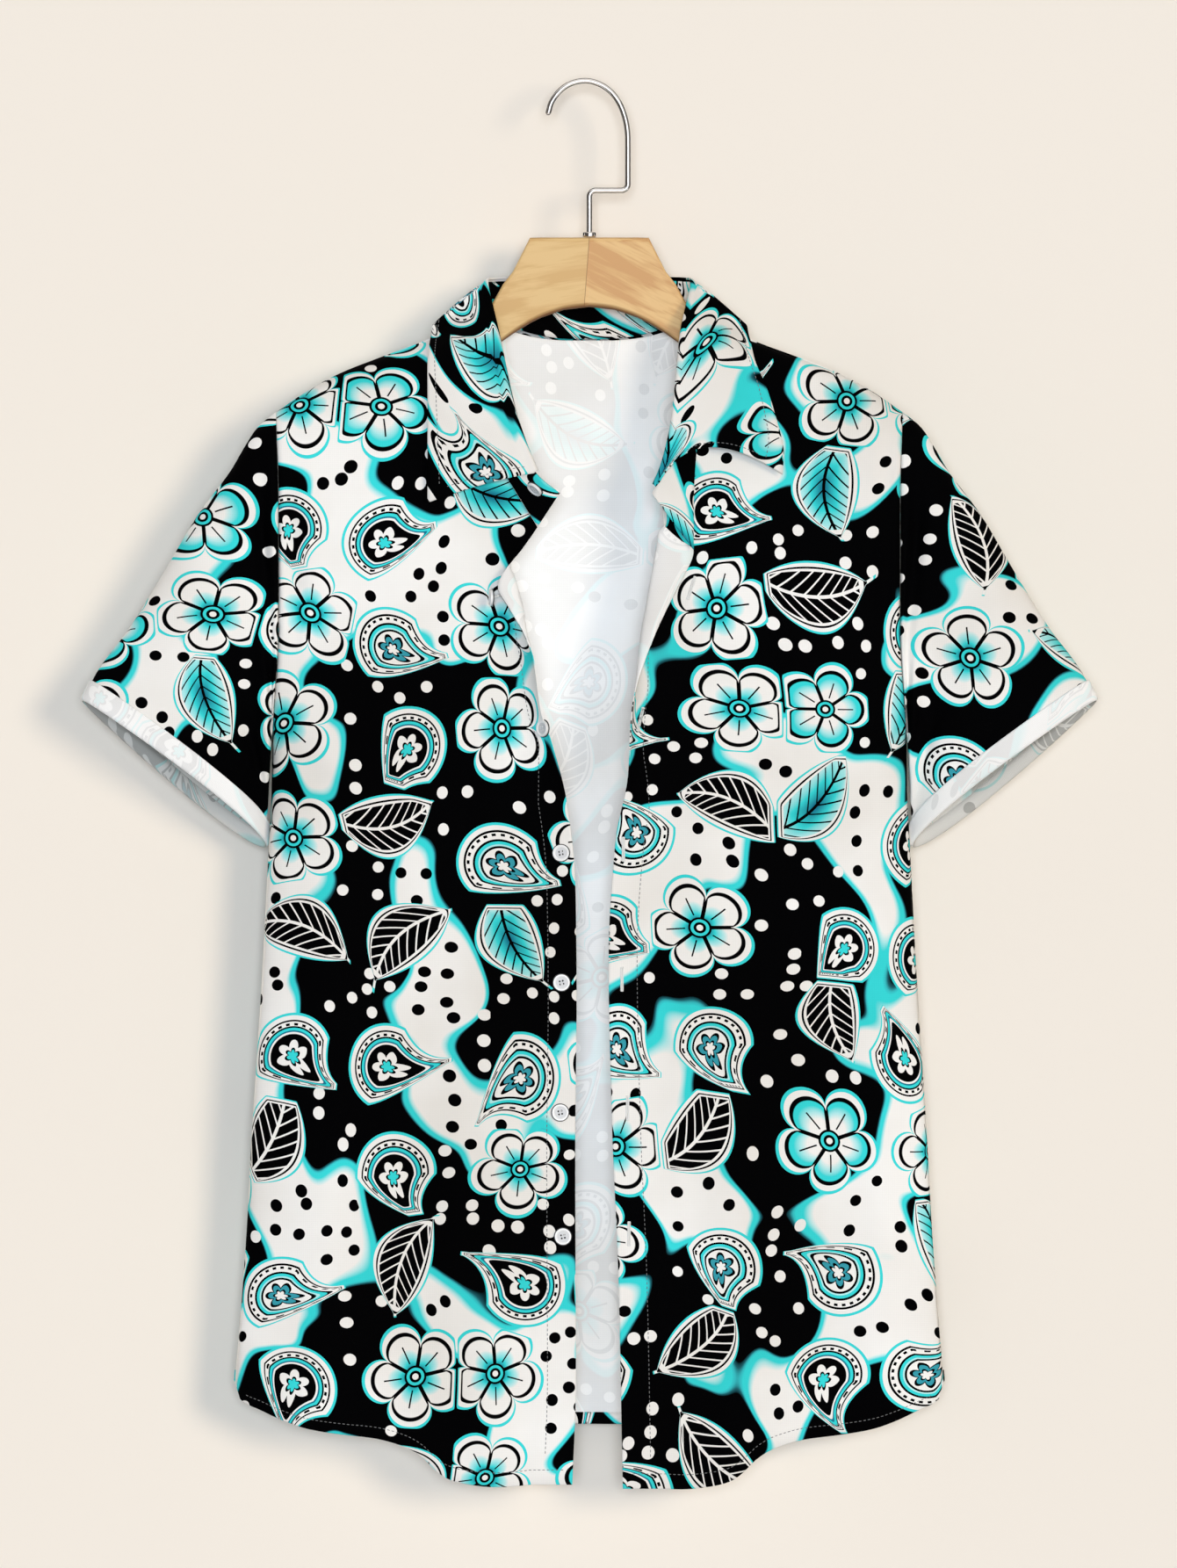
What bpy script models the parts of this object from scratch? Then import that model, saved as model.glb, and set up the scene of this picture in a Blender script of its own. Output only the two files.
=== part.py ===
"""A short-sleeved button-up shirt, open at the front, hung on a wooden hanger with a wire hook.

Metres, +Z up. The front faces -Y and +X is the viewer's right. The origin is the inside top of the
hook, where a rail holds it. Cloth is a wall of one thickness: each panel is an open grid of points,
worked out from the garment's own measures, and a Solidify modifier thickens it inwards.
"""

from math import cos, pi, radians, sin, sqrt

import bmesh
import bpy
import numpy as np
from mathutils import Matrix, Vector

CLOTH = 0.0015
SEAM = 0.0003
LIP = 0.001  # the last strip of a panel at a seam, which keeps the two cut edges parallel
SHARP_DEGREES = 35
LEFT, RIGHT = -1, 1
FRONT, BACK = -1, 1

# Shoulder ridge: x outwards, z height. The first row carries the line on over the neck.
RIDGE = [(0.000, -0.140), (0.072, -0.156), (0.090, -0.170), (0.114, -0.182), (0.150, -0.1953),
         (0.175, -0.205), (0.197, -0.2164), (0.221, -0.2325)]
RIDGE_ROUND = 0.045  # drop over which the cloth rounds off the hanger's arm
CROWD = 1.55  # how much closer rows lie where the cloth turns
RIDGE_FORWARD = 0.010  # the hanger's arms bow this far to the front
FORWARD_END = -0.60
SHOULDER_TIP = RIDGE[-1][1]

# Body: height and half depth, front to back, at the middle.
HALF_DEPTH = [(-1.00, 0.028), (-0.90, 0.030), (-0.75, 0.034), (-0.60, 0.037), (-0.46, 0.040),
              (-0.34, 0.037), (-0.26, 0.032), (-0.20, 0.027), (-0.14, 0.022)]
SIDE_POWER = 2.6  # how squarely the body rounds at its sides

# Height and half width: the armhole down to the underarm, then the side seam down to the hem.
UNDERARM = -0.460
ARMHOLE = [(SHOULDER_TIP, 0.221), (-0.295, 0.219), (-0.388, 0.219), (-0.430, 0.2215),
           (UNDERARM, 0.224)]
SIDE = [(UNDERARM, 0.224), (-0.500, 0.2245), (-0.533, 0.2262), (-0.624, 0.231), (-0.748, 0.239),
        (-0.802, 0.242), (-0.857, 0.246), (-0.917, 0.2505)]
UNDERARM_GAP = 0.0011  # more than a seam's, because two walls slope into one point here
UNDERARM_FADE = 0.080
ARMHOLE_OPEN = 0.050  # how far past the armhole the body's curve would close

# Hem: x and height.
HEM_FRONT = [(0.2505, -0.917), (0.249, -0.926), (0.244, -0.931), (0.232, -0.936), (0.218, -0.942),
             (0.198, -0.948), (0.175, -0.951), (0.152, -0.953), (0.129, -0.959), (0.117, -0.966),
             (0.109, -0.974), (0.100, -0.980), (0.088, -0.983), (0.068, -0.9846), (0.053, -0.9836),
             (0.034, -0.9805), (0.0236, -0.9765), (0.012, -0.969)]
HEM_BACK = [(0.2505, -0.917), (0.244, -0.929), (0.218, -0.937), (0.175, -0.943), (0.100, -0.948),
            (0.000, -0.948)]

# Neck edge of each panel, from the shoulder to the front edge or the middle of the back: x and height.
NECK_LEFT = [(0.0770, -0.1599), (0.0785, -0.182), (0.0780, -0.215), (0.0715, -0.250),
             (0.0595, -0.276), (0.045, -0.299), (0.0375, -0.3125)]
NECK_RIGHT = [(0.0770, -0.1599), (0.0785, -0.182), (0.0790, -0.215), (0.0775, -0.245),
              (0.0715, -0.270), (0.0620, -0.288), (0.0513, -0.301)]
NECK_BACK = [(0.0770, -0.1599), (0.0665, -0.169), (0.048, -0.1765), (0.025, -0.1805),
             (0.000, -0.181)]

# Front edge below the neck: outline is what shows from the front, edge is the cut edge where it has
# rolled back over the panel, and lift is how far the cut edge stands off the panel.
EDGE_COLUMNS = ("height", "outline", "edge", "lift")
EDGE_LEFT = [(-0.3137, -0.0366, -0.0366, 0.004), (-0.330, -0.0480, -0.0484, 0.008),
             (-0.340, -0.0550, -0.0568, 0.011), (-0.356, -0.0510, -0.0645, 0.013),
             (-0.370, -0.0472, -0.0570, 0.017), (-0.387, -0.0446, -0.0470, 0.020),
             (-0.405, -0.0400, -0.0400, 0.020),
             (-0.444, -0.0340, -0.0340, 0.015), (-0.464, -0.0270, -0.0270, 0.012),
             (-0.506, -0.0160, -0.0160, 0.006), (-0.560, -0.0100, -0.0100, 0.002),
             (-0.640, -0.0090, -0.0090, 0.001), (-0.748, -0.0100, -0.0100, 0.001),
             (-0.900, -0.0095, -0.0095, 0.001), (-0.969, -0.0120, -0.0120, 0.001)]
EDGE_RIGHT = [(-0.301, 0.0513, 0.0513, 0.004), (-0.312, 0.0500, 0.0530, 0.009),
              (-0.322, 0.0487, 0.0625, 0.011), (-0.330, 0.0475, 0.0735, 0.009),
              (-0.3546, 0.0430, 0.0630, 0.010), (-0.369, 0.0405, 0.0558, 0.012),
              (-0.386, 0.0372, 0.0477, 0.015), (-0.408, 0.0347, 0.0390, 0.018),
              (-0.425, 0.0330, 0.0335, 0.019), (-0.442, 0.0305, 0.0305, 0.016),
              (-0.487, 0.0277, 0.0277, 0.010), (-0.533, 0.0186, 0.0186, 0.004),
              (-0.616, 0.0136, 0.0136, 0.001), (-0.730, 0.0160, 0.0160, 0.001),
              (-0.834, 0.0205, 0.0205, 0.001), (-0.9765, 0.0236, 0.0236, 0.001)]
ROLL_WIDTH = 0.030  # panel width over which a front edge turns out
ROLL_AT_SHOULDER = 0.15  # share of that width which the strip along the neck starts with
ROLL_COLUMNS = 6
NECK_ROWS = 7
ARM_ROWS = 10
EDGE_ROWS = 18
CURL_LIFT = 0.006  # an edge that lifts less than this only curls

# Soft upright folds: x where they start and at the hem, the start's height, half width and rise.
FRONT_FOLDS = [(-0.175, -0.190, -0.42, 0.022, 0.0050), (-0.110, -0.125, -0.50, 0.026, -0.0035),
               (-0.060, -0.070, -0.55, 0.018, 0.0030), (0.095, 0.105, -0.48, 0.024, 0.0040),
               (0.150, 0.165, -0.42, 0.022, -0.0035), (0.195, 0.208, -0.45, 0.018, 0.0040)]
BACK_FOLDS = [(-0.165, -0.180, -0.40, 0.024, 0.0050), (-0.090, -0.100, -0.46, 0.028, -0.0040),
              (-0.015, -0.020, -0.42, 0.026, 0.0050), (0.070, 0.080, -0.50, 0.024, -0.0035),
              (0.150, 0.170, -0.42, 0.024, 0.0045)]
FOLD_GROWTH = 0.30

# Sleeve: top edge from the shoulder tip to the cuff, and the underarm corner of the cuff: x, height.
SLEEVE_TOP = [(0.2213, SHOULDER_TIP), (0.234, -0.243), (0.244, -0.258), (0.255, -0.2765),
              (0.277, -0.306), (0.300, -0.345), (0.324, -0.384), (0.337, -0.401), (0.348, -0.4166),
              (0.3575, -0.4355)]
CUFF_CORNER = (0.2288, -0.5385)
CUFF_HALF_DEPTH = 0.019
CUFF_SQUARENESS = 0.8  # under 1 makes the cuff's section squarer than an ellipse
TOP_REACH = 1.3  # how fast the top edge's own curve fades out round the sleeve
UNDERARM_BACK = 0.014  # the sleeve's lower fold hangs this far behind the side seam
CUFF_TILT = 0.0065  # each face of the cuff is this far from its middle line, so the mouth shows
CUFF_TILT_TAPER = 0.4  # how much less of it the outer end has than the underarm's
CUFF_WIDTH = 0.0145
CUFF_CLOTH = 0.0012
CUFF_SEAM = 0.0006  # wider than a seam's, because the coarse rings bend between their points

# Collar, a row for each station from the front end to the middle of the back: the stand's seam, the
# roll line, and the fall's middle and outer edge. Each point is x outwards, lift off the panel below
# and height. The first row of the two sides is the stand's free end, past the fall.
COLLAR_LEFT = [
    ((0.0366, 0.0045, -0.3137), (0.021, 0.012, -0.2905), None, None),
    ((0.052, 0.003, -0.289), (0.038, 0.012, -0.276), (0.074, 0.013, -0.284), (0.114, 0.007, -0.297)),
    ((0.065, 0.003, -0.267), (0.0465, 0.012, -0.256), (0.078, 0.013, -0.26), (0.114, 0.007, -0.272)),
    ((0.0735, 0.003, -0.244), (0.0535, 0.0115, -0.235), (0.082, 0.0125, -0.239), (0.114, 0.007, -0.248)),
    ((0.078, 0.003, -0.215), (0.059, 0.0095, -0.212), (0.086, 0.0115, -0.215), (0.114, 0.007, -0.222)),
    ((0.0765, 0.003, -0.182), (0.0655, 0.0075, -0.18), (0.09, 0.011, -0.186), (0.114, 0.0095, -0.196)),
    ((0.0765, 0.002, -0.1665), (0.07, 0.006, -0.16), (0.09, 0.008, -0.166), (0.112, 0.007, -0.179))]
COLLAR_RIGHT = [
    ((0.0735, 0.016, -0.33), (0.044, 0.015, -0.2905), None, None),
    ((0.0735, 0.013, -0.316), (0.0462, 0.015, -0.286), (0.082, 0.019, -0.258), (0.136, 0.008, -0.277)),
    ((0.074, 0.008, -0.282), (0.053, 0.014, -0.27), (0.09, 0.016, -0.246), (0.1368, 0.008, -0.259)),
    ((0.0765, 0.004, -0.25), (0.0595, 0.012, -0.243), (0.094, 0.014, -0.231), (0.132, 0.008, -0.2385)),
    ((0.0785, 0.003, -0.218), (0.063, 0.01, -0.212), (0.095, 0.012, -0.21), (0.125, 0.0075, -0.216)),
    ((0.0765, 0.003, -0.182), (0.0662, 0.0075, -0.18), (0.093, 0.011, -0.185), (0.117, 0.0095, -0.197)),
    ((0.0765, 0.002, -0.1665), (0.07, 0.006, -0.16), (0.0905, 0.008, -0.166), (0.113, 0.007, -0.179))]
COLLAR_BACK = [
    ((0.0748, 0.0005, -0.155), (0.0725, 0.001, -0.1425), (0.0885, 0.003, -0.1505), (0.1085, 0.003, -0.169)),
    ((0.066, 0.004, -0.165), (0.0665, 0.017, -0.1395), (0.077, 0.018, -0.154), (0.09, 0.012, -0.177)),
    ((0.048, 0.0028, -0.174), (0.048, 0.025, -0.139), (0.052, 0.018, -0.159), (0.057, 0.012, -0.185)),
    ((0.025, 0.0028, -0.179), (0.025, 0.03, -0.139), (0.027, 0.018, -0.161), (0.029, 0.013, -0.187)),
    ((0.0, 0.0028, -0.18), (0.0, 0.031, -0.139), (0.0, 0.018, -0.162), (0.0, 0.013, -0.1875))]
COLLAR_CLOTH = 0.0018
FALL_CLEAR = 0.0030  # least gap from the panel to the fall's outer face
COLLAR_STEPS = 2  # grid steps between two stations
FALL_OVER_STAND = 0.0028  # from the stand's outer face to the fall's, where it turns over

# Buttons: x, height, degrees turned from facing the front, and lift off the panel of its back.
BUTTONS = [(-0.0386, -0.2877, -18, 0.0125), (-0.0690, -0.3640, -82, 0.0125),
           (-0.0330, -0.4560, -50, 0.0120), (-0.0200, -0.5437, -8, 0.0035),
           (-0.0196, -0.6350, 0, 0.0022), (-0.0205, -0.7266, 0, 0.0022), (-0.0186, -0.8140, 0, 0.0022)]
BUTTON_RADIUS = 0.0058
BUTTON_THICK = 0.0024
BUTTON_RIM = 0.0012
BUTTON_DISH = 0.0006
HOLE_RADIUS = 0.00075
HOLE_PITCH = 0.0012  # from the button's middle to a hole's, along both its axes
BUTTON_EDGE = 0.0006  # how far the button's edges are rounded off

# Hanger: x along one half, top and bottom heights.
HANGER = [(0.00015, -0.109, -0.158), (0.018, -0.109, -0.1600), (0.034, -0.109, -0.1655),
          (0.042, -0.1092, -0.1695), (0.054, -0.133, -0.1770), (0.061, -0.142, -0.1820),
          (0.068, -0.1545, -0.1868), (0.078, -0.1685, -0.1915), (0.096, -0.1800, -0.2010),
          (0.114, -0.1885, -0.2090), (0.150, -0.2015, -0.2215), (0.175, -0.2115, -0.2310),
          (0.196, -0.2220, -0.2400), (0.203, -0.2270, -0.2395)]
WOOD_THICK = 0.012
WOOD_CORNER = 0.003
WOOD_TOP = HANGER[0][1]
HOOK_WIRE = 0.0019
HOOK_RADIUS = 0.0285
HOOK_TIP = 167  # degrees round from +X
HOOK_DROP = -0.0753
HOOK_BEND = 0.0045
FERRULE_RADIUS = 0.0045
FERRULE_HEIGHT = 0.0035
FERRULE_EDGE = 0.001


def across(table, value):
    """The second column of a two-column table at a value of the first."""
    rows = sorted(table)
    return np.interp(value, [row[0] for row in rows], [row[1] for row in rows])


def edge_at(table, name, height):
    """A named column of a front edge's table at a height."""
    place = EDGE_COLUMNS.index(name)
    return np.interp(-height, [-row[0] for row in table], [row[place] for row in table])


def catmull(points, steps):
    """A smooth run through points, with so many steps between each two."""
    given = np.array(points, float)
    ends = [2 * given[0] - given[1], *given, 2 * given[-1] - given[-2]]
    run = []
    for before, start, end, after in zip(ends, ends[1:], ends[2:], ends[3:]):
        for t in np.linspace(0, 1, steps + 1)[:-1]:
            second = 2 * before - 5 * start + 4 * end - after
            third = 3 * (start - end) + after - before
            run.append(start + 0.5 * t * (end - before + t * (second + t * third)))
    return np.array([*run, given[-1]])


def evenly(points, count, crowd=1.0):
    """Count points along a smooth curve through the given ones, closer at its start if crowd > 1."""
    run = catmull(points, 8)
    length = np.append(0, np.cumsum(np.linalg.norm(np.diff(run, axis=0), axis=1)))
    places = length[-1] * np.linspace(0, 1, count) ** crowd
    return np.stack([np.interp(places, length, axis) for axis in run.T], axis=1)


def ease(value):
    """A smooth step from 0 to 1."""
    value = np.clip(value, 0, 1)
    return value * value * (3 - 2 * value)


def forward(x, z):
    """y of the garment's middle: the hanger's arms bow to the front, and the hem hangs straight."""
    return -RIDGE_FORWARD * (x / 0.2) ** 2 * ease((z - FORWARD_END) / (SHOULDER_TIP - FORWARD_END))


def body_width(z):
    """The x at which the body's curve closes: its side, or a virtual one past the open armhole."""
    if z <= UNDERARM:
        return across(SIDE, z)
    share = min((z - UNDERARM) / (SHOULDER_TIP - UNDERARM), 1)
    return across(ARMHOLE, z) + ARMHOLE_OPEN * sqrt(share)


def folds(rows, x, z):
    """How far the soft folds move the cloth out at a point."""
    total = 0
    for start_x, hem_x, start, width, rise in rows:
        share = ease((start - z) / FOLD_GROWTH)
        centre = start_x + (hem_x - start_x) * share
        total += rise * share * np.exp(-(((x - centre) / width) ** 2))
    return total


def depth(x, z, facing):
    """Half depth of the body at a point of its outline seen from the front."""
    side = max(1 - (abs(x) / body_width(z)) ** SIDE_POWER, 0) ** (1 / SIDE_POWER)
    drop = np.clip((across(RIDGE, abs(x)) - z) / RIDGE_ROUND, 0, 1)
    ridge = sqrt(1 - (1 - drop) ** 2)
    rows = FRONT_FOLDS if facing == FRONT else BACK_FOLDS
    return side * ridge * (across(HALF_DEPTH, z) + folds(rows, x, z))


def surface(x, z, facing, lift=0.0):
    """A point of the body's outer face, or one lifted off it."""
    return Vector((x, forward(x, z) + facing * (SEAM / 2 + depth(x, z, facing) + lift), z))


def material(name, colour, roughness, metallic=0.0):
    """A plain Principled material."""
    made = bpy.data.materials.new(name)
    made.use_nodes = True
    shader = made.node_tree.nodes["Principled BSDF"]
    shader.inputs["Base Color"].default_value = (*colour, 1)
    shader.inputs["Roughness"].default_value = roughness
    shader.inputs["Metallic"].default_value = metallic
    return made


def place(name, mesh, finish):
    """Links a mesh as a named object with one material."""
    mesh.materials.append(finish)
    made = bpy.data.objects.new(name, mesh)
    bpy.context.collection.objects.link(made)
    return made


def mesh_of(name, build):
    """Turns a bmesh into a smooth-shaded mesh."""
    mesh = bpy.data.meshes.new(name)
    build.to_mesh(mesh)
    build.free()
    mesh.shade_smooth()
    mesh.set_sharp_from_angle(angle=radians(SHARP_DEGREES))
    return mesh


def sheet(name, grids, finish, thick=CLOTH, ring=False):
    """A cloth wall whose outer face is one or more grids of points, thickened to its inner side.

    Rows run down the garment, or out along a sleeve, and each row runs to the right as seen from
    outside."""
    build = bmesh.new()
    for rows in grids:
        grid = [[build.verts.new(point) for point in row] for row in rows]
        for upper, lower in zip(grid, grid[1:]):
            for i in range(len(upper) if ring else len(upper) - 1):
                j = (i + 1) % len(upper)
                build.faces.new((upper[i], lower[i], lower[j], upper[j]))
    bmesh.ops.remove_doubles(build, verts=build.verts, dist=1e-6)
    made = place(name, mesh_of(name, build), finish)
    wall = made.modifiers.new("Wall", "SOLIDIFY")
    wall.thickness = thick
    wall.offset = -1
    return made


def turned(rows, flip):
    """The rows, or the same rows run the other way."""
    return [list(reversed(row)) for row in rows] if flip else rows


def outer_x(height):
    """x of the armhole or the side seam."""
    return across(ARMHOLE, height) if height > UNDERARM else across(SIDE, height)


def outer_heights(arm_rows, side_rows):
    """Heights of a panel's rows at its outer edge: down the armhole, then down the side seam."""
    arm = SHOULDER_TIP + (UNDERARM - SHOULDER_TIP) * np.linspace(0, 1, arm_rows) ** CROWD
    side = np.linspace(UNDERARM, SIDE[-1][0], side_rows + 1)[1:]
    return np.append(arm, side)


def lip_step(height, facing):
    """The step in from a panel's outer edge: along x at the armhole, along y at the side seam."""
    if abs(height - UNDERARM) < 1e-6:
        turn = pi / 4
    else:
        turn = 0 if height > UNDERARM else pi / 2
    return Vector((-LIP * cos(turn), facing * LIP * sin(turn), 0))


def fill_row(start, end_z, share, top_bow, foot_bow, side, facing, steps):
    """One row of a half panel, from its inner point to the outer edge, with the lip at the end."""
    end_x = outer_x(end_z)
    row = []
    for step in steps:
        x = start[0] + step * (end_x - start[0])
        z = start[1] + step * (end_z - start[1])
        z += np.interp(x, *top_bow) * (1 - share) ** 3 * (1 - step) ** 0.5
        z += np.interp(x, *foot_bow) * share ** 4
        row.append(surface(side * x, z, facing))
    gap = 0
    if end_z < UNDERARM + 1e-6:
        gap = UNDERARM_GAP * max(1 - (UNDERARM - end_z) / UNDERARM_FADE, 0)
    last = surface(side * end_x, end_z, facing, gap)
    step = lip_step(end_z, facing)
    row[-1] = last + Vector((side * step.x, step.y, 0))
    row.append(last)
    return row


def bow(curve, start, end, count=16):
    """A curve's departure from the straight line between two of its points, as (xs, rises)."""
    xs = np.linspace(start, end, count)
    heights = across(curve, xs)
    return xs, heights - np.interp(xs, [start, end], [heights[0], heights[-1]])


def crest(row, facing):
    """The shoulder edge above a panel's first row, one lip's width away."""
    top = [Vector((p.x, forward(p.x, p.z) + facing * SEAM / 2, p.z)) for p in row]
    first = [p + Vector((0, facing * LIP, 0)) for p in top]
    return top, first


def roll_out(height, table, panel_x, count):
    """(x, y) of a front edge from the cut edge in to the panel: a soft curl, or a fold back over it."""
    outline, edge, lift = (edge_at(table, name, height) for name in EDGE_COLUMNS[1:])
    side = np.sign(panel_x)
    face = surface(outline, height, FRONT).y
    start = np.array([panel_x, surface(panel_x, height, FRONT).y])
    end = np.array([edge, face - lift])
    steps = np.linspace(1, 0, count + 1)[:-1, None]

    def folded(turn):
        bend = np.array([turn, face])
        back = np.array([turn, face - lift])
        return ((1 - steps) ** 3 * start + 3 * steps * (1 - steps) ** 2 * bend
                + 3 * steps ** 2 * (1 - steps) * back + steps ** 3 * end)

    near, far = outline, outline - side * ROLL_WIDTH
    for _ in range(20):
        middle = (near + far) / 2
        if (side * folded(middle)[:, 0]).min() < side * outline - 1e-6:
            far = middle
        else:
            near = middle
    curled = start + (np.array([edge, face]) - start) * steps
    curled[:, 1] -= lift * steps[:, 0] ** 2
    share = np.clip(max((lift - CURL_LIFT) / CURL_LIFT, abs(edge - outline) / CURL_LIFT), 0, 1)
    return curled + (folded(near) - curled) * share


def front(name, side, neck, table, finish):
    """One front panel, from its rolled front edge to the armhole and side seam."""
    columns = 9
    inner = [(x, z, None) for x, z in evenly(neck, NECK_ROWS, CROWD)]
    top, foot = table[0][0], table[-1][0]
    for share in np.linspace(0, 1, EDGE_ROWS + 1)[1:] ** CROWD:
        height = top + (foot - top) * share
        inner.append((side * edge_at(table, "outline", height), height, height))
    ends = outer_heights(ARM_ROWS, len(inner) - ARM_ROWS)
    top_bow = bow(RIDGE, inner[0][0], RIDGE[-1][0])
    foot_bow = bow(HEM_FRONT, inner[-1][0], SIDE[-1][1])
    steps = np.linspace(0, 1, columns)
    rows = []
    for i, ((x, z, height), end_z) in enumerate(zip(inner, ends)):
        share = i / (len(inner) - 1)
        width = ROLL_WIDTH * (ROLL_AT_SHOULDER + (1 - ROLL_AT_SHOULDER) * min(i / NECK_ROWS, 1))
        panel_x = x + width
        foot_z = np.interp(panel_x, *foot_bow) * share ** 4
        row = fill_row((panel_x, z), end_z, share, top_bow, foot_bow, side, FRONT, steps)
        if height is None:
            rise = row[0].z - z
            roll = [surface(side * (x + width * s), z + rise * s, FRONT)
                    for s in np.linspace(0, 1, ROLL_COLUMNS + 1)[:-1]]
        else:
            curl = roll_out(height, table, side * panel_x, ROLL_COLUMNS)
            roll = [Vector((a, b, z + foot_z)) for a, b in curl]
        rows.append(roll + row)
    rows[:1] = crest(rows[0], FRONT)
    return sheet(name, [turned(rows, side == LEFT)], finish)


def back(finish):
    """The back panel, both halves joined down the middle."""
    columns = 11
    inner = [tuple(point) for point in evenly(NECK_BACK, NECK_ROWS, CROWD)]
    for height in np.linspace(NECK_BACK[-1][1], HEM_BACK[-1][1], EDGE_ROWS + 1)[1:]:
        inner.append((0.0, height))
    ends = outer_heights(ARM_ROWS, len(inner) - ARM_ROWS)
    top_bow = bow(RIDGE, inner[0][0], RIDGE[-1][0])
    foot_bow = bow(HEM_BACK, 0, SIDE[-1][1])
    halves = []
    for side in (LEFT, RIGHT):
        rows = []
        for i, (start, end_z) in enumerate(zip(inner, ends)):
            share = i / (len(inner) - 1)
            steps = np.linspace(0, 1, columns)
            rows.append(fill_row(start, end_z, share, top_bow, foot_bow, side, BACK, steps))
        rows[:1] = crest(rows[0], BACK)
        halves.append(turned(rows, side == RIGHT))
    return sheet("back", halves, finish)


def sleeve_point(side, along, angle):
    """A point of a sleeve's outer face: 0 to 1 from armhole to cuff, and an angle from its top."""
    facing = FRONT if sin(angle) >= 0 else BACK
    closed = abs(sin(angle)) < 1e-6
    high = (1 + cos(angle)) / 2
    arm_z = UNDERARM + (SHOULDER_TIP - UNDERARM) * high
    arm = np.array([outer_x(max(arm_z, UNDERARM + 1e-6)) + SEAM, arm_z])
    arm_y = forward(arm[0], arm_z) if closed else surface(arm[0] - SEAM, arm_z, facing).y
    top, corner = np.array(SLEEVE_TOP[-1]), np.array(CUFF_CORNER)
    cuff = corner + (top - corner) * high
    line = (top - corner) / np.linalg.norm(top - corner)
    down = np.array([line[1], -line[0]])
    cuff = cuff - down * CUFF_TILT * sin(angle) * (1 - CUFF_TILT_TAPER * cos(angle))
    half = CUFF_HALF_DEPTH * abs(sin(angle)) ** CUFF_SQUARENESS
    cuff_y = forward(arm[0], arm_z) + facing * half
    straight = (1 - along) * np.array(SLEEVE_TOP[0]) + along * top
    spot = (1 - along) * arm + along * cuff + (top_edge(along) - straight) * high ** TOP_REACH
    y = arm_y + (cuff_y - arm_y) * ease(along) + UNDERARM_BACK * (1 - high) ** 2 * along
    return Vector((side * spot[0], y, spot[1]))


def top_edge(along):
    """The sleeve's top edge at a share of its length."""
    run = evenly(SLEEVE_TOP, 41)
    places = np.linspace(0, 1, len(run))
    return np.array([np.interp(along, places, axis) for axis in run.T])


def ring_angles(count):
    """Angles round a sleeve."""
    return [2 * pi * i / count for i in range(count)]


def sleeve_rows(side, shares, count=24):
    """Rings of a sleeve at shares of its length."""
    return [[sleeve_point(side, share, angle) for angle in ring_angles(count)] for share in shares]


def sleeve(name, side, finish):
    """One sleeve tube, from the armhole seam to the cuff."""
    rows = sleeve_rows(side, np.linspace(0, 1, 10))
    rows.insert(1, [point + Vector((side * LIP, 0, 0)) for point in rows[0]])
    return sheet(name, [turned(rows, side == RIGHT)], finish, ring=True)


def moved_out(rows, distance):
    """A ring grid's points moved along its outward normals."""
    moved = []
    for i, row in enumerate(rows):
        above, below = rows[max(i - 1, 0)], rows[min(i + 1, len(rows) - 1)]
        moved.append([])
        for j, point in enumerate(row):
            round_it = row[(j + 1) % len(row)] - row[j - 1]
            down_it = below[j] - above[j]
            moved[-1].append(point + distance * round_it.cross(down_it).normalized())
    return moved


def cuff(name, side, finish):
    """The turned-up band, made from the sleeve's last stretch, moved out."""
    fine = sleeve_rows(side, np.linspace(0.6, 1, 41))
    bands = []
    for share in (1, 0.5, 0):
        row = []
        for column in zip(*fine):
            run = np.array(column)
            length = np.append(0, np.cumsum(np.linalg.norm(np.diff(run, axis=0), axis=1)))
            spot = length[-1] - share * CUFF_WIDTH
            row.append(Vector([np.interp(spot, length, axis) for axis in run.T]))
        bands.append(row)
    out = CUFF_CLOTH + CUFF_SEAM
    rows = moved_out(bands, out if side == RIGHT else -out)
    return sheet(name, [turned(rows, side == RIGHT)], finish, thick=CUFF_CLOTH, ring=True)


def collar_grid(first):
    """Stations round the neck from the right front end to the left one, with a point a column."""
    halves = []
    for side, front_rows in ((RIGHT, COLLAR_RIGHT), (LEFT, COLLAR_LEFT)):
        half = []
        for facing, table in ((FRONT, front_rows[first:]), (BACK, COLLAR_BACK)):
            for row in table:
                points = row if first else row[:2]
                half.append([surface(side * x, z, facing, lift) for x, lift, z in points])
        halves.append(half)
    return halves[0] + list(reversed(halves[1]))[1:]


def kept_clear(point, lift):
    """A collar point, kept at least so far off the panel under it."""
    facing = FRONT if point.y < forward(point.x, point.z) else BACK
    floor = surface(point.x, point.z, facing, lift)
    return Vector((point.x, facing * max(facing * point.y, facing * floor.y), point.z))


def collar_stand(finish):
    """The stand, from the roll line down to the neck seam."""
    columns = [catmull([station[i] for station in collar_grid(0)], COLLAR_STEPS) for i in range(2)]
    rows = []
    for share in np.linspace(1, 0, 4):
        line = columns[0] + (columns[1] - columns[0]) * share
        rows.append([Vector(point) for point in line])
    return sheet("collar_stand", [rows], finish, thick=COLLAR_CLOTH)


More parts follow.
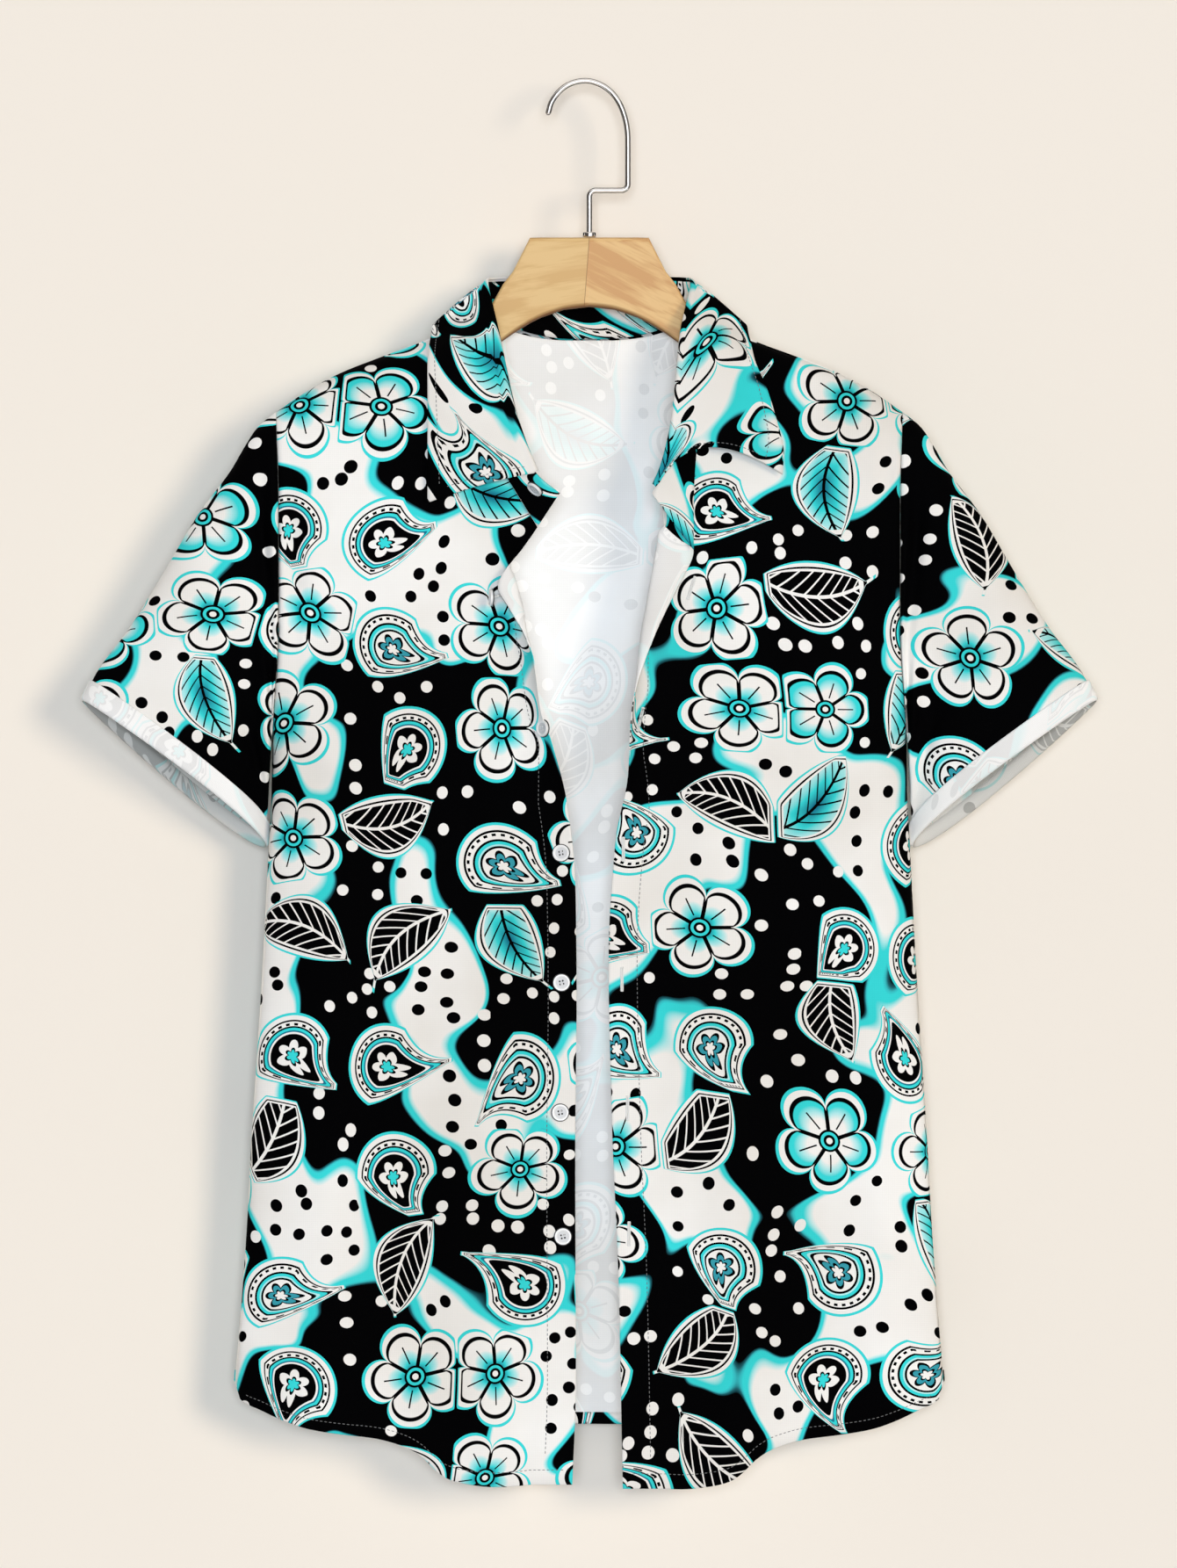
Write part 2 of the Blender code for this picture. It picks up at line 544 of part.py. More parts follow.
def collar_fall(finish):
    """The fall, from just over the stand's top, down to the outer edge."""
    stations = collar_grid(1)
    lines = []
    for i in range(4):
        lines.append(catmull([station[i] for station in stations], COLLAR_STEPS))
    seam, roll, middle, outer = lines
    up = roll - seam
    up /= np.linalg.norm(up, axis=1)[:, None]
    out = np.cross(np.gradient(roll, axis=0), up)
    out /= np.linalg.norm(out, axis=1)[:, None]
    rows = [roll + FALL_OVER_STAND * up - COLLAR_CLOTH / 2 * out]
    for turn in (90, 45):
        rows.append(roll + FALL_OVER_STAND * (up * sin(radians(turn)) + out * cos(radians(turn))))
    start = roll + FALL_OVER_STAND * out
    for share in np.linspace(0, 1, 6):
        first = (1 - share) * (1 - 2 * share)
        second = 4 * share * (1 - share)
        third = share * (2 * share - 1)
        rows.append(first * start + second * middle + third * outer)
    rows = [[Vector(point) for point in row] for row in rows]
    for row in rows[5:]:
        row[:] = [kept_clear(point, FALL_CLEAR) for point in row]
    return sheet("collar_fall", [rows], finish, thick=COLLAR_CLOTH)


def lathe(name, profile, segments, finish):
    """A turned solid about z from (radius, height) pairs, top to bottom, closed at the axis."""
    build = bmesh.new()
    rings = []
    for radius, height in profile:
        if radius == 0:
            rings.append([build.verts.new((0, 0, height))])
            continue
        turns = [2 * pi * i / segments for i in range(segments)]
        rings.append([build.verts.new((radius * cos(t), radius * sin(t), height)) for t in turns])
    for upper, lower in zip(rings, rings[1:]):
        for i in range(segments):
            j = (i + 1) % segments
            corners = [upper[i % len(upper)], lower[i % len(lower)],
                       lower[j % len(lower)], upper[j % len(upper)]]
            build.faces.new(list(dict.fromkeys(corners)))
    return place(name, mesh_of(name, build), finish)


def hole_cutter():
    """Four pins that cut the holes of a button."""
    build = bmesh.new()
    for x, y in ((-1, -1), (1, -1), (-1, 1), (1, 1)):
        spot = Matrix.Translation((HOLE_PITCH * x, HOLE_PITCH * y, 0))
        bmesh.ops.create_cone(build, cap_ends=True, segments=6, radius1=HOLE_RADIUS,
                              radius2=HOLE_RADIUS, depth=4 * BUTTON_THICK, matrix=spot)
    cutter = place("button_holes", mesh_of("button_holes", build), material("cutter", (1, 1, 1), 0.5))
    cutter.hide_render = True
    cutter.display_type = "WIRE"
    return cutter


def button_meshes(finish):
    """A four-holed button with a raised rim, facing +Z, its back on z = 0."""
    inner = BUTTON_RADIUS - BUTTON_RIM
    floor = BUTTON_THICK - BUTTON_DISH
    profile = [(0, floor), (inner - BUTTON_EDGE, floor), (inner, BUTTON_THICK),
               (BUTTON_RADIUS - BUTTON_EDGE, BUTTON_THICK), (BUTTON_RADIUS, BUTTON_THICK - BUTTON_EDGE),
               (BUTTON_RADIUS, BUTTON_EDGE), (BUTTON_RADIUS - BUTTON_EDGE, 0), (0, 0)]
    cutter = hole_cutter()
    for i in range(len(BUTTONS)):
        made = lathe(f"button_{i + 1}", profile, 16, finish)
        cut = made.modifiers.new("Holes", "BOOLEAN")
        cut.object = cutter
        yield made


def hanger_half(name, side, finish):
    """One half of the hanger: rounded sections along x, bowed with the shoulders."""
    build = bmesh.new()
    half = WOOD_THICK / 2
    rings = []
    for x, top, bottom in HANGER:
        ring = []
        for facing, start, height, up in ((1, 0, top, 1), (-1, 90, top, 1), (-1, 0, bottom, -1),
                                          (1, 90, bottom, -1)):
            for step in (0, 45, 90):
                turn = radians(abs(step - start))
                y = facing * (half - WOOD_CORNER * (1 - cos(turn)))
                z = height - up * WOOD_CORNER * (1 - sin(turn))
                ring.append(build.verts.new((side * x, y + forward(x, SHOULDER_TIP), z)))
        rings.append(ring)
    for inner, outer in zip(rings, rings[1:]):
        for i in range(len(inner)):
            j = (i + 1) % len(inner)
            build.faces.new((inner[i], inner[j], outer[j], outer[i]))
    build.faces.new(list(reversed(rings[0])))
    build.faces.new(rings[-1])
    bmesh.ops.recalc_face_normals(build, faces=build.faces)
    return place(name, mesh_of(name, build), finish)


def arc(centre, radius, start, end, steps):
    """Points of an arc in the plane of the hook, angles in degrees round from +X."""
    return [(centre[0] + radius * cos(radians(a)), centre[1] + radius * sin(radians(a)))
            for a in np.linspace(start, end, steps)]


def hook(finish):
    """The bent wire: arc, drop, two tight bends and the stem."""
    top = HOOK_WIRE - HOOK_RADIUS
    bend = HOOK_BEND
    path = arc((0, top), HOOK_RADIUS, HOOK_TIP, 0, 18)
    path += arc((HOOK_RADIUS - bend, HOOK_DROP + bend), bend, 0, -90, 5)
    path += arc((bend, HOOK_DROP - bend), bend, 90, 180, 5)
    path.append((0, WOOD_TOP + FERRULE_HEIGHT + 2 * SEAM))
    curve = bpy.data.curves.new("hanger_hook", "CURVE")
    curve.dimensions = "3D"
    curve.bevel_depth = HOOK_WIRE
    curve.bevel_resolution = 2
    curve.use_fill_caps = True
    spline = curve.splines.new("POLY")
    spline.points.add(len(path) - 1)
    for point, (x, z) in zip(spline.points, path):
        point.co = (x, 0, z, 1)
    return place("hanger_hook", curve, finish)


def ferrule(finish):
    """The small collar between the stem and the wood."""
    low = WOOD_TOP + SEAM
    high = low + FERRULE_HEIGHT
    profile = [(0, high), (FERRULE_RADIUS - FERRULE_EDGE, high),
               (FERRULE_RADIUS, high - FERRULE_EDGE), (FERRULE_RADIUS, low), (0, low)]
    return lathe("hanger_ferrule", profile, 20, finish)


def main():
    """Builds every piece."""
    for old in list(bpy.data.objects):
        bpy.data.objects.remove(old, do_unlink=True)
    cloth = material("printed cloth", (0.35, 0.55, 0.56), 0.85)
    reverse = material("cloth reverse", (0.87, 0.87, 0.86), 0.88)
    white = material("button", (0.9, 0.9, 0.9), 0.3)
    wood = material("beech", (0.65, 0.42, 0.22), 0.45)
    chrome = material("chrome", (0.75, 0.75, 0.76), 0.15, 1.0)
    front("front_left", LEFT, NECK_LEFT, EDGE_LEFT, cloth)
    front("front_right", RIGHT, NECK_RIGHT, EDGE_RIGHT, cloth)
    back(cloth)
    for word, side in (("left", LEFT), ("right", RIGHT)):
        sleeve(f"sleeve_{word}", side, cloth)
        cuff(f"cuff_{word}", side, reverse)
        hanger_half(f"hanger_{word}", side, wood)
    collar_stand(cloth)
    collar_fall(cloth)
    for made, (x, z, turn, lift) in zip(button_meshes(white), BUTTONS):
        facing = Matrix.Rotation(radians(turn), 4, "Z") @ Matrix.Rotation(pi / 2, 4, "X")
        made.matrix_world = Matrix.Translation(surface(x, z, FRONT, lift)) @ facing
    hook(chrome)
    ferrule(chrome)


main()
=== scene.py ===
"""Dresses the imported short-sleeved shirt and its wooden hanger.

Metres in the CAD's frame: +Z up, the shirt's front faces -Y and +X is the viewer's right. The cloth
pieces are thin sheets on the solids' own form, worked out from the garment's measures.
"""

import logging
from collections.abc import Callable
from dataclasses import dataclass
from enum import IntEnum
from functools import partial
from math import atan2, cos, pi, radians, sin
from typing import NamedTuple

import bmesh
import bpy
import numpy as np
from bpy.types import Material, Mesh, Node, NodeSocket, NodeTree, Object
from mathutils import Matrix, Vector

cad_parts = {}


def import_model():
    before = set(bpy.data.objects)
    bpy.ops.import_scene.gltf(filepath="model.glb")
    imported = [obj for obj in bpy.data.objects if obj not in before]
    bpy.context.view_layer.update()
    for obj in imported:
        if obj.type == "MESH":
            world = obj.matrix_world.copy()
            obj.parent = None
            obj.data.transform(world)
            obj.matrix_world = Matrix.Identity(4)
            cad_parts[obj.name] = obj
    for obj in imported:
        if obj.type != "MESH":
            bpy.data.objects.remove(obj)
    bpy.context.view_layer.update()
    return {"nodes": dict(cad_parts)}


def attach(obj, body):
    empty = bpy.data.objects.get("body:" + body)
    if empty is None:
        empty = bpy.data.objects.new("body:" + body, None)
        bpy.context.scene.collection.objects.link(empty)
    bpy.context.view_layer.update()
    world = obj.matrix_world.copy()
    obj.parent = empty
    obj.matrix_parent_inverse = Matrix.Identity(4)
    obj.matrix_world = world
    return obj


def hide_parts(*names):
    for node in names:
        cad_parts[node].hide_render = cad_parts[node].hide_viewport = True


log = logging.getLogger("shirt")
Table = tuple[tuple[float, ...], ...]
Array = np.ndarray
Adder = Callable[..., Node]
SEAM = 0.0003  # the gap that the solids keep where two pieces are sewn together
MM = 0.001


class Side(IntEnum):
    """The viewer's left or right."""

    LEFT = -1
    RIGHT = 1


class Facing(IntEnum):
    """Which way a panel faces along Y."""

    FRONT = -1
    BACK = 1


# ---- small geometry helpers


def smooth_run(points: Array, steps: int) -> Array:
    """Runs a Catmull-Rom curve through points.

    Args:
        points: One point a row.
        steps: Steps between each two points.

    Returns:
        The finer points, the last one included.
    """
    given = np.asarray(points, float)
    ends = np.concatenate([[2 * given[0] - given[1]], given, [2 * given[-1] - given[-2]]])
    run = []
    for before, start, end, after in zip(ends, ends[1:], ends[2:], ends[3:]):
        for t in np.linspace(0, 1, steps + 1)[:-1]:
            second = 2 * before - 5 * start + 4 * end - after
            third = 3 * (start - end) + after - before
            run.append(start + 0.5 * t * (end - before + t * (second + t * third)))
    return np.array([*run, given[-1]])


def spaced(points: Table, count: int, crowd: float = 1.0) -> Array:
    """Places points along a smooth curve through the given ones.

    Args:
        points: The curve's points.
        count: How many points to return.
        crowd: Over 1 puts them closer at the curve's start.

    Returns:
        The points, one a row.
    """
    run = smooth_run(np.array(points), 8)
    length = np.append(0, np.cumsum(np.linalg.norm(np.diff(run, axis=0), axis=1)))
    places = length[-1] * np.linspace(0, 1, count) ** crowd
    return np.stack([np.interp(places, length, axis) for axis in run.T], axis=1)


def look_up(table: Table, value: Array | float, column: int = 1) -> Array:
    """Reads a table's column smoothly at values of its first, without overshoot.

    Args:
        table: Rows of numbers; the first column rises or falls all the way.
        value: Where to read it.
        column: Which column to read.

    Returns:
        The column's values.
    """
    rows = sorted(table)
    keys = np.array([row[0] for row in rows])
    heights = np.array([row[column] for row in rows])
    gaps = np.diff(keys)
    slopes = np.diff(heights) / gaps
    turn = np.concatenate([[slopes[0]], np.zeros(len(keys) - 2), [slopes[-1]]])
    same = slopes[:-1] * slopes[1:] > 0
    before, after = slopes[:-1][same], slopes[1:][same]
    wide, narrow = (2 * gaps[1:] + gaps[:-1])[same], (gaps[1:] + 2 * gaps[:-1])[same]
    turn[1:-1][same] = (wide + narrow) / (wide / before + narrow / after)
    held = np.clip(value, keys[0], keys[-1])
    at = np.clip(np.searchsorted(keys, held, side="right") - 1, 0, len(gaps) - 1)
    t = (held - keys[at]) / gaps[at]
    swing = gaps[at] * ((t**3 - 2 * t**2 + t) * turn[at] + (t**3 - t**2) * turn[at + 1])
    return heights[at] * (2 * t**3 - 3 * t**2 + 1) + heights[at + 1] * (3 * t**2 - 2 * t**3) + swing


def ease(value: Array | float) -> Array:
    """A smooth step from 0 to 1."""
    held = np.clip(value, 0, 1)
    return held * held * (3 - 2 * held)


def crease_sum(rows: Table, x: Array, z: Array) -> Array:
    """Adds up soft ridges and troughs that each run along a line.

    Args:
        rows: Start x and z, end x and z, half width and rise of each; a trough's rise is negative.
        x: Where to measure.
        z: Where to measure.

    Returns:
        How far the cloth stands out there.
    """
    total = np.zeros(np.broadcast(x, z).shape)
    for start_x, start_z, end_x, end_z, width, rise in rows:
        run_x, run_z = end_x - start_x, end_z - start_z
        long = run_x**2 + run_z**2
        along = np.clip(((x - start_x) * run_x + (z - start_z) * run_z) / long, 0, 1)
        off = np.hypot(x - start_x - along * run_x, z - start_z - along * run_z)
        swell = 0.7 + 0.3 * np.sin(7.0 * along + 40 * start_x)
        total = total + rise * swell * np.exp(-((off / width) ** 2)) * np.sin(pi * (0.12 + 0.76 * along))
    return total


def grid_normals(grid: Array, ring: bool = False) -> Array:
    """Unit normals of a grid of points.

    Args:
        grid: Rows by columns by 3.
        ring: Whether each row closes on itself.

    Returns:
        The normals, which point out where rows run down and columns to the right.
    """
    down = np.gradient(grid, axis=0)
    if ring:
        across = np.roll(grid, -1, axis=1) - np.roll(grid, 1, axis=1)
    else:
        across = np.gradient(grid, axis=1)
    normal = np.cross(down, across)
    length = np.linalg.norm(normal, axis=2, keepdims=True)
    return normal / np.maximum(length, 1e-12)


def run_lengths(grid: Array, axis: int, origin: int) -> Array:
    """Length along one axis of a grid of points.

    Args:
        grid: Rows by columns by 3.
        axis: 0 down the columns or 1 along the rows.
        origin: The row or column to measure from.

    Returns:
        The length at each point, negative before the origin.
    """
    steps = np.linalg.norm(np.diff(grid, axis=axis), axis=2)
    total = np.cumsum(steps, axis=axis)
    total = np.concatenate([np.zeros_like(np.take(total, [0], axis=axis)), total], axis=axis)
    return total - np.take(total, [origin], axis=axis)


def closed(grid: Array) -> Array:
    """A grid of rings with each ring's first point again at its end."""
    return np.concatenate([grid, grid[:, :1]], axis=1)


def add_piece(name: str, mesh: Mesh, slot: str, *nodes: str) -> Object:
    """Adds a piece that moves with the shirt.

    Args:
        name: The piece's name.
        mesh: Its mesh.
        slot: The record's slot that its finish comes from; not used.
        nodes: The CAD nodes that it stands for.

    Returns:
        The piece.
    """
    made = bpy.data.objects.new(name, mesh)
    bpy.context.collection.objects.link(made)
    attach(made, "root")
    if nodes:
        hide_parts(*nodes)
    return made


def add_disc(radius: float, depth: float, spot: tuple[float, float, float],
             sides: int = 48) -> Object:
    """Adds a round bar along Z, with nothing else selected.

    Args:
        radius: Its radius.
        depth: Its height.
        spot: Its middle.
        sides: How many sides it has.

    Returns:
        Its object.
    """
    bpy.ops.object.select_all(action="DESELECT")
    bpy.ops.mesh.primitive_cylinder_add(vertices=sides, radius=radius, depth=depth, location=spot)
    return bpy.context.object


def select_top(mesh: Mesh) -> None:
    """Selects the faces that look up, of a mesh in edit mode with nothing selected.

    Args:
        mesh: The mesh.
    """
    shape = bmesh.from_edit_mesh(mesh)
    for face in shape.faces:
        face.select = face.normal.z > 0.9
    bmesh.update_edit_mesh(mesh)


def round_edges(made: Object, width: float, segments: int, angle: float) -> None:
    """Bevels the edges where a piece turns sharply.

    Args:
        made: The piece.
        width: Width of the bevel.
        segments: Its steps.
        angle: Degrees of turn from which an edge gets it.
    """
    bevel = made.modifiers.new("Bevel", "BEVEL")
    bevel.width, bevel.segments = width, segments
    bevel.limit_method, bevel.angle_limit = "ANGLE", radians(angle)
    bpy.ops.object.modifier_apply(modifier="Bevel")


def smoothed(mesh: Mesh, angle: float) -> None:
    """Shades a mesh smooth up to an angle in degrees."""
    mesh.shade_smooth()
    mesh.set_sharp_from_angle(angle=radians(angle))


# ---- the hanging body's form


@dataclass(frozen=True)
class BodyForm:
    """The body of the shirt as it hangs, from its measures; heights are z, widths are x."""

    ridge: Table = (
        (0.0, -0.14), (0.072, -0.156), (0.09, -0.17), (0.114, -0.182), (0.15, -0.1953), (0.175, -0.205),
        (0.197, -0.2164), (0.221, -0.2325))
    half_depth: Table = (
        (-1.0, 0.028), (-0.9, 0.03), (-0.75, 0.034), (-0.6, 0.037), (-0.46, 0.04), (-0.34, 0.037),
        (-0.26, 0.032), (-0.2, 0.027), (-0.14, 0.022))
    armhole: Table = ((-0.2325, 0.221), (-0.295, 0.219), (-0.388, 0.219), (-0.43, 0.2215), (-0.46, 0.224))
    side: Table = (
        (-0.46, 0.224), (-0.5, 0.2245), (-0.533, 0.2262), (-0.624, 0.231), (-0.748, 0.239), (-0.802, 0.242),
        (-0.857, 0.246), (-0.917, 0.2505))
    hem_front: Table = (
        (0.2505, -0.917), (0.249, -0.926), (0.244, -0.931), (0.232, -0.936), (0.218, -0.942), (0.198, -0.948),
        (0.175, -0.951), (0.152, -0.953), (0.129, -0.959), (0.117, -0.966), (0.109, -0.974), (0.1, -0.98),
        (0.088, -0.983), (0.068, -0.9846), (0.053, -0.9836), (0.034, -0.9805), (0.0236, -0.9765),
        (0.012, -0.969))
    hem_back: Table = (
        (0.2505, -0.917), (0.244, -0.929), (0.218, -0.937), (0.175, -0.943), (0.1, -0.948), (0.0, -0.948))
    # start and hem x, start z, half width and rise of each fold; creases as crease_sum reads them
    front_folds: Table = (
        (-0.175, -0.19, -0.42, 0.022, 0.005), (-0.11, -0.125, -0.5, 0.026, -0.0035),
        (-0.06, -0.07, -0.55, 0.018, 0.003), (0.095, 0.105, -0.48, 0.024, 0.004),
        (0.15, 0.165, -0.42, 0.022, -0.0035), (0.195, 0.208, -0.45, 0.018, 0.004))
    back_folds: Table = (
        (-0.165, -0.18, -0.4, 0.024, 0.005), (-0.09, -0.1, -0.46, 0.028, -0.004),
        (-0.015, -0.02, -0.42, 0.026, 0.005), (0.07, 0.08, -0.5, 0.024, -0.0035),
        (0.15, 0.17, -0.42, 0.024, 0.0045))
    front_creases: Table = (
        (-0.212, -0.26, -0.206, -0.42, 0.007, -0.005), (-0.2, -0.26, -0.194, -0.36, 0.008, 0.003),
        (-0.216, -0.44, -0.15, -0.52, 0.01, 0.0025), (-0.205, -0.47, -0.12, -0.6, 0.009, -0.0022),
        (-0.12, -0.3, -0.15, -0.45, 0.016, 0.0022), (-0.065, -0.42, -0.1, -0.55, 0.012, -0.002),
        (-0.15, -0.62, -0.17, -0.8, 0.01, -0.0022), (-0.09, -0.66, -0.098, -0.88, 0.011, 0.0022),
        (0.211, -0.26, 0.207, -0.41, 0.007, -0.005), (0.202, -0.25, 0.196, -0.37, 0.008, 0.003),
        (0.216, -0.45, 0.16, -0.54, 0.01, 0.0026), (0.2, -0.48, 0.13, -0.58, 0.009, -0.0022),
        (0.11, -0.33, 0.14, -0.46, 0.015, -0.0022), (0.06, -0.44, 0.09, -0.56, 0.013, 0.002),
        (0.12, -0.64, 0.135, -0.85, 0.01, -0.0022), (0.07, -0.6, 0.062, -0.78, 0.009, 0.0018),
        (0.185, -0.66, 0.196, -0.86, 0.01, -0.002))
    back_creases: Table = (
        (-0.212, -0.28, -0.19, -0.42, 0.01, -0.003), (-0.216, -0.45, -0.13, -0.55, 0.012, 0.003),
        (-0.19, -0.5, -0.11, -0.62, 0.01, -0.0024), (-0.06, -0.24, -0.075, -0.4, 0.018, 0.0022),
        (0.04, -0.26, 0.03, -0.46, 0.014, -0.0022), (0.212, -0.27, 0.188, -0.4, 0.01, -0.003),
        (0.216, -0.46, 0.12, -0.57, 0.012, 0.003), (0.18, -0.52, 0.1, -0.66, 0.011, -0.0024),
        (-0.05, -0.6, -0.06, -0.84, 0.012, -0.0024), (0.02, -0.62, 0.03, -0.8, 0.01, 0.002),
        (0.11, -0.68, 0.12, -0.88, 0.012, -0.0024))
    underarm: float = -0.460
    shoulder: float = -0.2325
    ridge_round: float = 0.045  # height over which the shoulder's ridge rounds off
    ridge_forward: float = 0.010  # of the garment's middle at arm_reach out
    arm_reach: float = 0.2
    forward_end: float = -0.60
    side_power: float = 2.6  # of the curve in plan, where 2 is an ellipse
    armhole_open: float = 0.050
    fold_growth: float = 0.30

    def forward(self, x: Array, z: Array) -> Array:
        """y of the garment's middle: the hanger's arms bow to the front."""
        fall = ease((z - self.forward_end) / (self.shoulder - self.forward_end))
        return -self.ridge_forward * (x / self.arm_reach) ** 2 * fall

    def outer_x(self, z: Array) -> Array:
        """x of the armhole or the side seam at a height."""
        return np.where(z > self.underarm, look_up(self.armhole, z), look_up(self.side, z))

    def width(self, z: Array) -> Array:
        """The x at which the body's curve closes, past the open armhole."""
        share = np.clip((z - self.underarm) / (self.shoulder - self.underarm), 0, 1)
        return self.outer_x(z) + self.armhole_open * np.sqrt(share)

    def depth(self, x: Array, z: Array, facing: Facing) -> Array:
        """Half depth of the body, with its folds and creases.

        Args:
            x: Across.
            z: Height.
            facing: Front or back.

        Returns:
            How far the outer face is from the garment's middle.
        """
        closing = np.clip(1 - (np.abs(x) / self.width(z)) ** self.side_power, 0, 1)
        drop = np.clip((look_up(self.ridge, np.abs(x)) - z) / self.ridge_round, 0, 1)
        front = facing == Facing.FRONT
        swell = look_up(self.half_depth, z)
        for start_x, hem_x, start, width, rise in self.front_folds if front else self.back_folds:
            share = ease((start - z) / self.fold_growth)
            centre = start_x + (hem_x - start_x) * share
            swell = swell + rise * share * np.exp(-(((x - centre) / width) ** 2))
        swell = swell + crease_sum(self.front_creases if front else self.back_creases, x, z)
        return closing ** (1 / self.side_power) * np.sqrt(1 - (1 - drop) ** 2) * swell

    def point(self, x: Array, z: Array, facing: Facing,
              lift: Array | float = 0.0) -> Array:
        """Points of the body's outer face, or ones lifted off it.

        Args:
            x: Across.
            z: Height.
            facing: Front or back.
            lift: How far off the face.

        Returns:
            The points, with x, y and z last.
        """
        x, z = np.broadcast_arrays(np.asarray(x, float), np.asarray(z, float))
        y = self.forward(x, z) + facing * (SEAM / 2 + self.depth(x, z, facing) + lift)
        return np.stack([x, y, z], axis=-1)

    def laid_flat(self, grid: Array, hem_rows: int = 5) -> Array:
        """Places of a panel's points on the flat cloth, measured across from the middle and up.

        Args:
            grid: The panel's points, with the hem's fold in the last rows.
            hem_rows: How many rows the fold has.

        Returns:
            u and v of each point.
        """
        x, z = np.abs(grid[..., 0]), grid[..., 2]
        steps = np.sin(np.linspace(0, pi / 2, 61))
        run = np.minimum(x, self.width(z))[..., None] * steps
        full, wide = look_up(self.half_depth, z)[..., None], self.width(z)[..., None]
        curve = full * np.clip(1 - (run / wide) ** self.side_power, 0, 1) ** (1 / self.side_power)
        u = np.sign(grid[..., 0]) * np.hypot(np.diff(run), np.diff(curve)).sum(axis=-1)
        turn = np.linspace(0, pi / 2, 41)
        mean = (turn[1:] + turn[:-1]) / 2
        arcs = np.hypot(self.ridge_round * np.sin(mean), self.half_depth[-1][1] * np.cos(mean)) * turn[1]
        left = np.append(np.cumsum(arcs[::-1])[::-1], 0)
        top = look_up(self.ridge, x)
        down = np.arccos(np.clip(1 - (top - z) / self.ridge_round, 0, 1))
        v = np.where(top - z < self.ridge_round, top - self.ridge_round + np.interp(down, turn, left), z)
        foot = len(grid) - hem_rows - 1
        fold = np.cumsum(np.linalg.norm(np.diff(grid[foot:], axis=0), axis=2), axis=0)
        u[foot + 1:] = u[foot]
        v[foot + 1:] = v[foot] - fold
        return np.stack([u, v], axis=-1)


FORM = BodyForm()


# ---- finishes


def linear(code: str) -> tuple[float, float, float, float]:
    """Turns an sRGB hex colour to the linear one that Blender mixes."""
    parts = [int(code[i:i + 2], 16) / 255 for i in (1, 3, 5)]
    return (*[p / 12.92 if p <= 0.04045 else ((p + 0.055) / 1.055) ** 2.4 for p in parts], 1.0)


def plug(node: Node, inputs: dict) -> None:
    """Sets or links inputs of a node.

    Args:
        node: The node.
        inputs: Numbers, colours, nodes or sockets by the input's place or name.
    """
    for place, value in inputs.items():
        if isinstance(value, Node):
            value = value.outputs[0]
        if isinstance(value, NodeSocket):
            node.id_data.links.new(value, node.inputs[place])
        else:
            node.inputs[place].default_value = value


def add_node(tree: NodeTree, kind: str, *values: object, inputs: dict | None = None,
             stops: list | None = None, top: float | None = None, **settings: object) -> Node:
    """Adds a node with its settings and links.

    Args:
        tree: Where it goes.
        kind: The node's type without its prefix, and its operation where it has one.
        values: Numbers, colours, nodes or sockets for its first inputs.
        inputs: The same for other inputs, by place or name.
        stops: Places and hex colours of a colour ramp.
        top: The place of the ramp's far end where its colours change in hard steps.
        settings: The node's own settings.

    Returns:
        The node.
    """
    kind, _, operation = kind.partition(" ")
    node = tree.nodes.new(kind if kind.startswith("Node") else "ShaderNode" + kind)
    if operation:
        node.operation = operation
    for name, value in settings.items():
        setattr(node, name, value)
    plug(node, {**dict(enumerate(values)), **(inputs or {})})
    if stops:
        ramp = node.color_ramp
        ramp.interpolation = "CONSTANT" if top else "LINEAR"
        while len(ramp.elements) < len(stops):
            ramp.elements.new(0.5)
        for element, (place, code) in zip(ramp.elements, stops):
            element.position, element.color = place / (top or 1), linear(code)
    return node


def new_material(name: str) -> tuple[Material, Node, Adder]:
    """Starts a material.

    Args:
        name: What the real one is.

    Returns:
        The material, its shader, and what adds a node to it.
    """
    made = bpy.data.materials.new(name)
    made.use_nodes = True
    return made, made.node_tree.nodes["Principled BSDF"], partial(add_node, made.node_tree)


@dataclass(frozen=True)
class Inks:
    """The print's colours, as they look on the finished cloth."""

    black: str = "#020203"
    white: str = "#F7F5F2"
    cyan: str = "#3BDDE0"
    teal: str = "#3A9FB0"
    deep: str = "#1E7C96"
    pale: str = "#B8EEF0"


class Motif(NamedTuple):
    """What a motif's colours are made from: the adder of nodes, and three sockets.

    reach runs from 0 at the motif's middle to 1 at its outline, place is the place in it, and variant
    is its own random number.
    """

    add: Adder
    reach: NodeSocket
    place: NodeSocket
    variant: NodeSocket


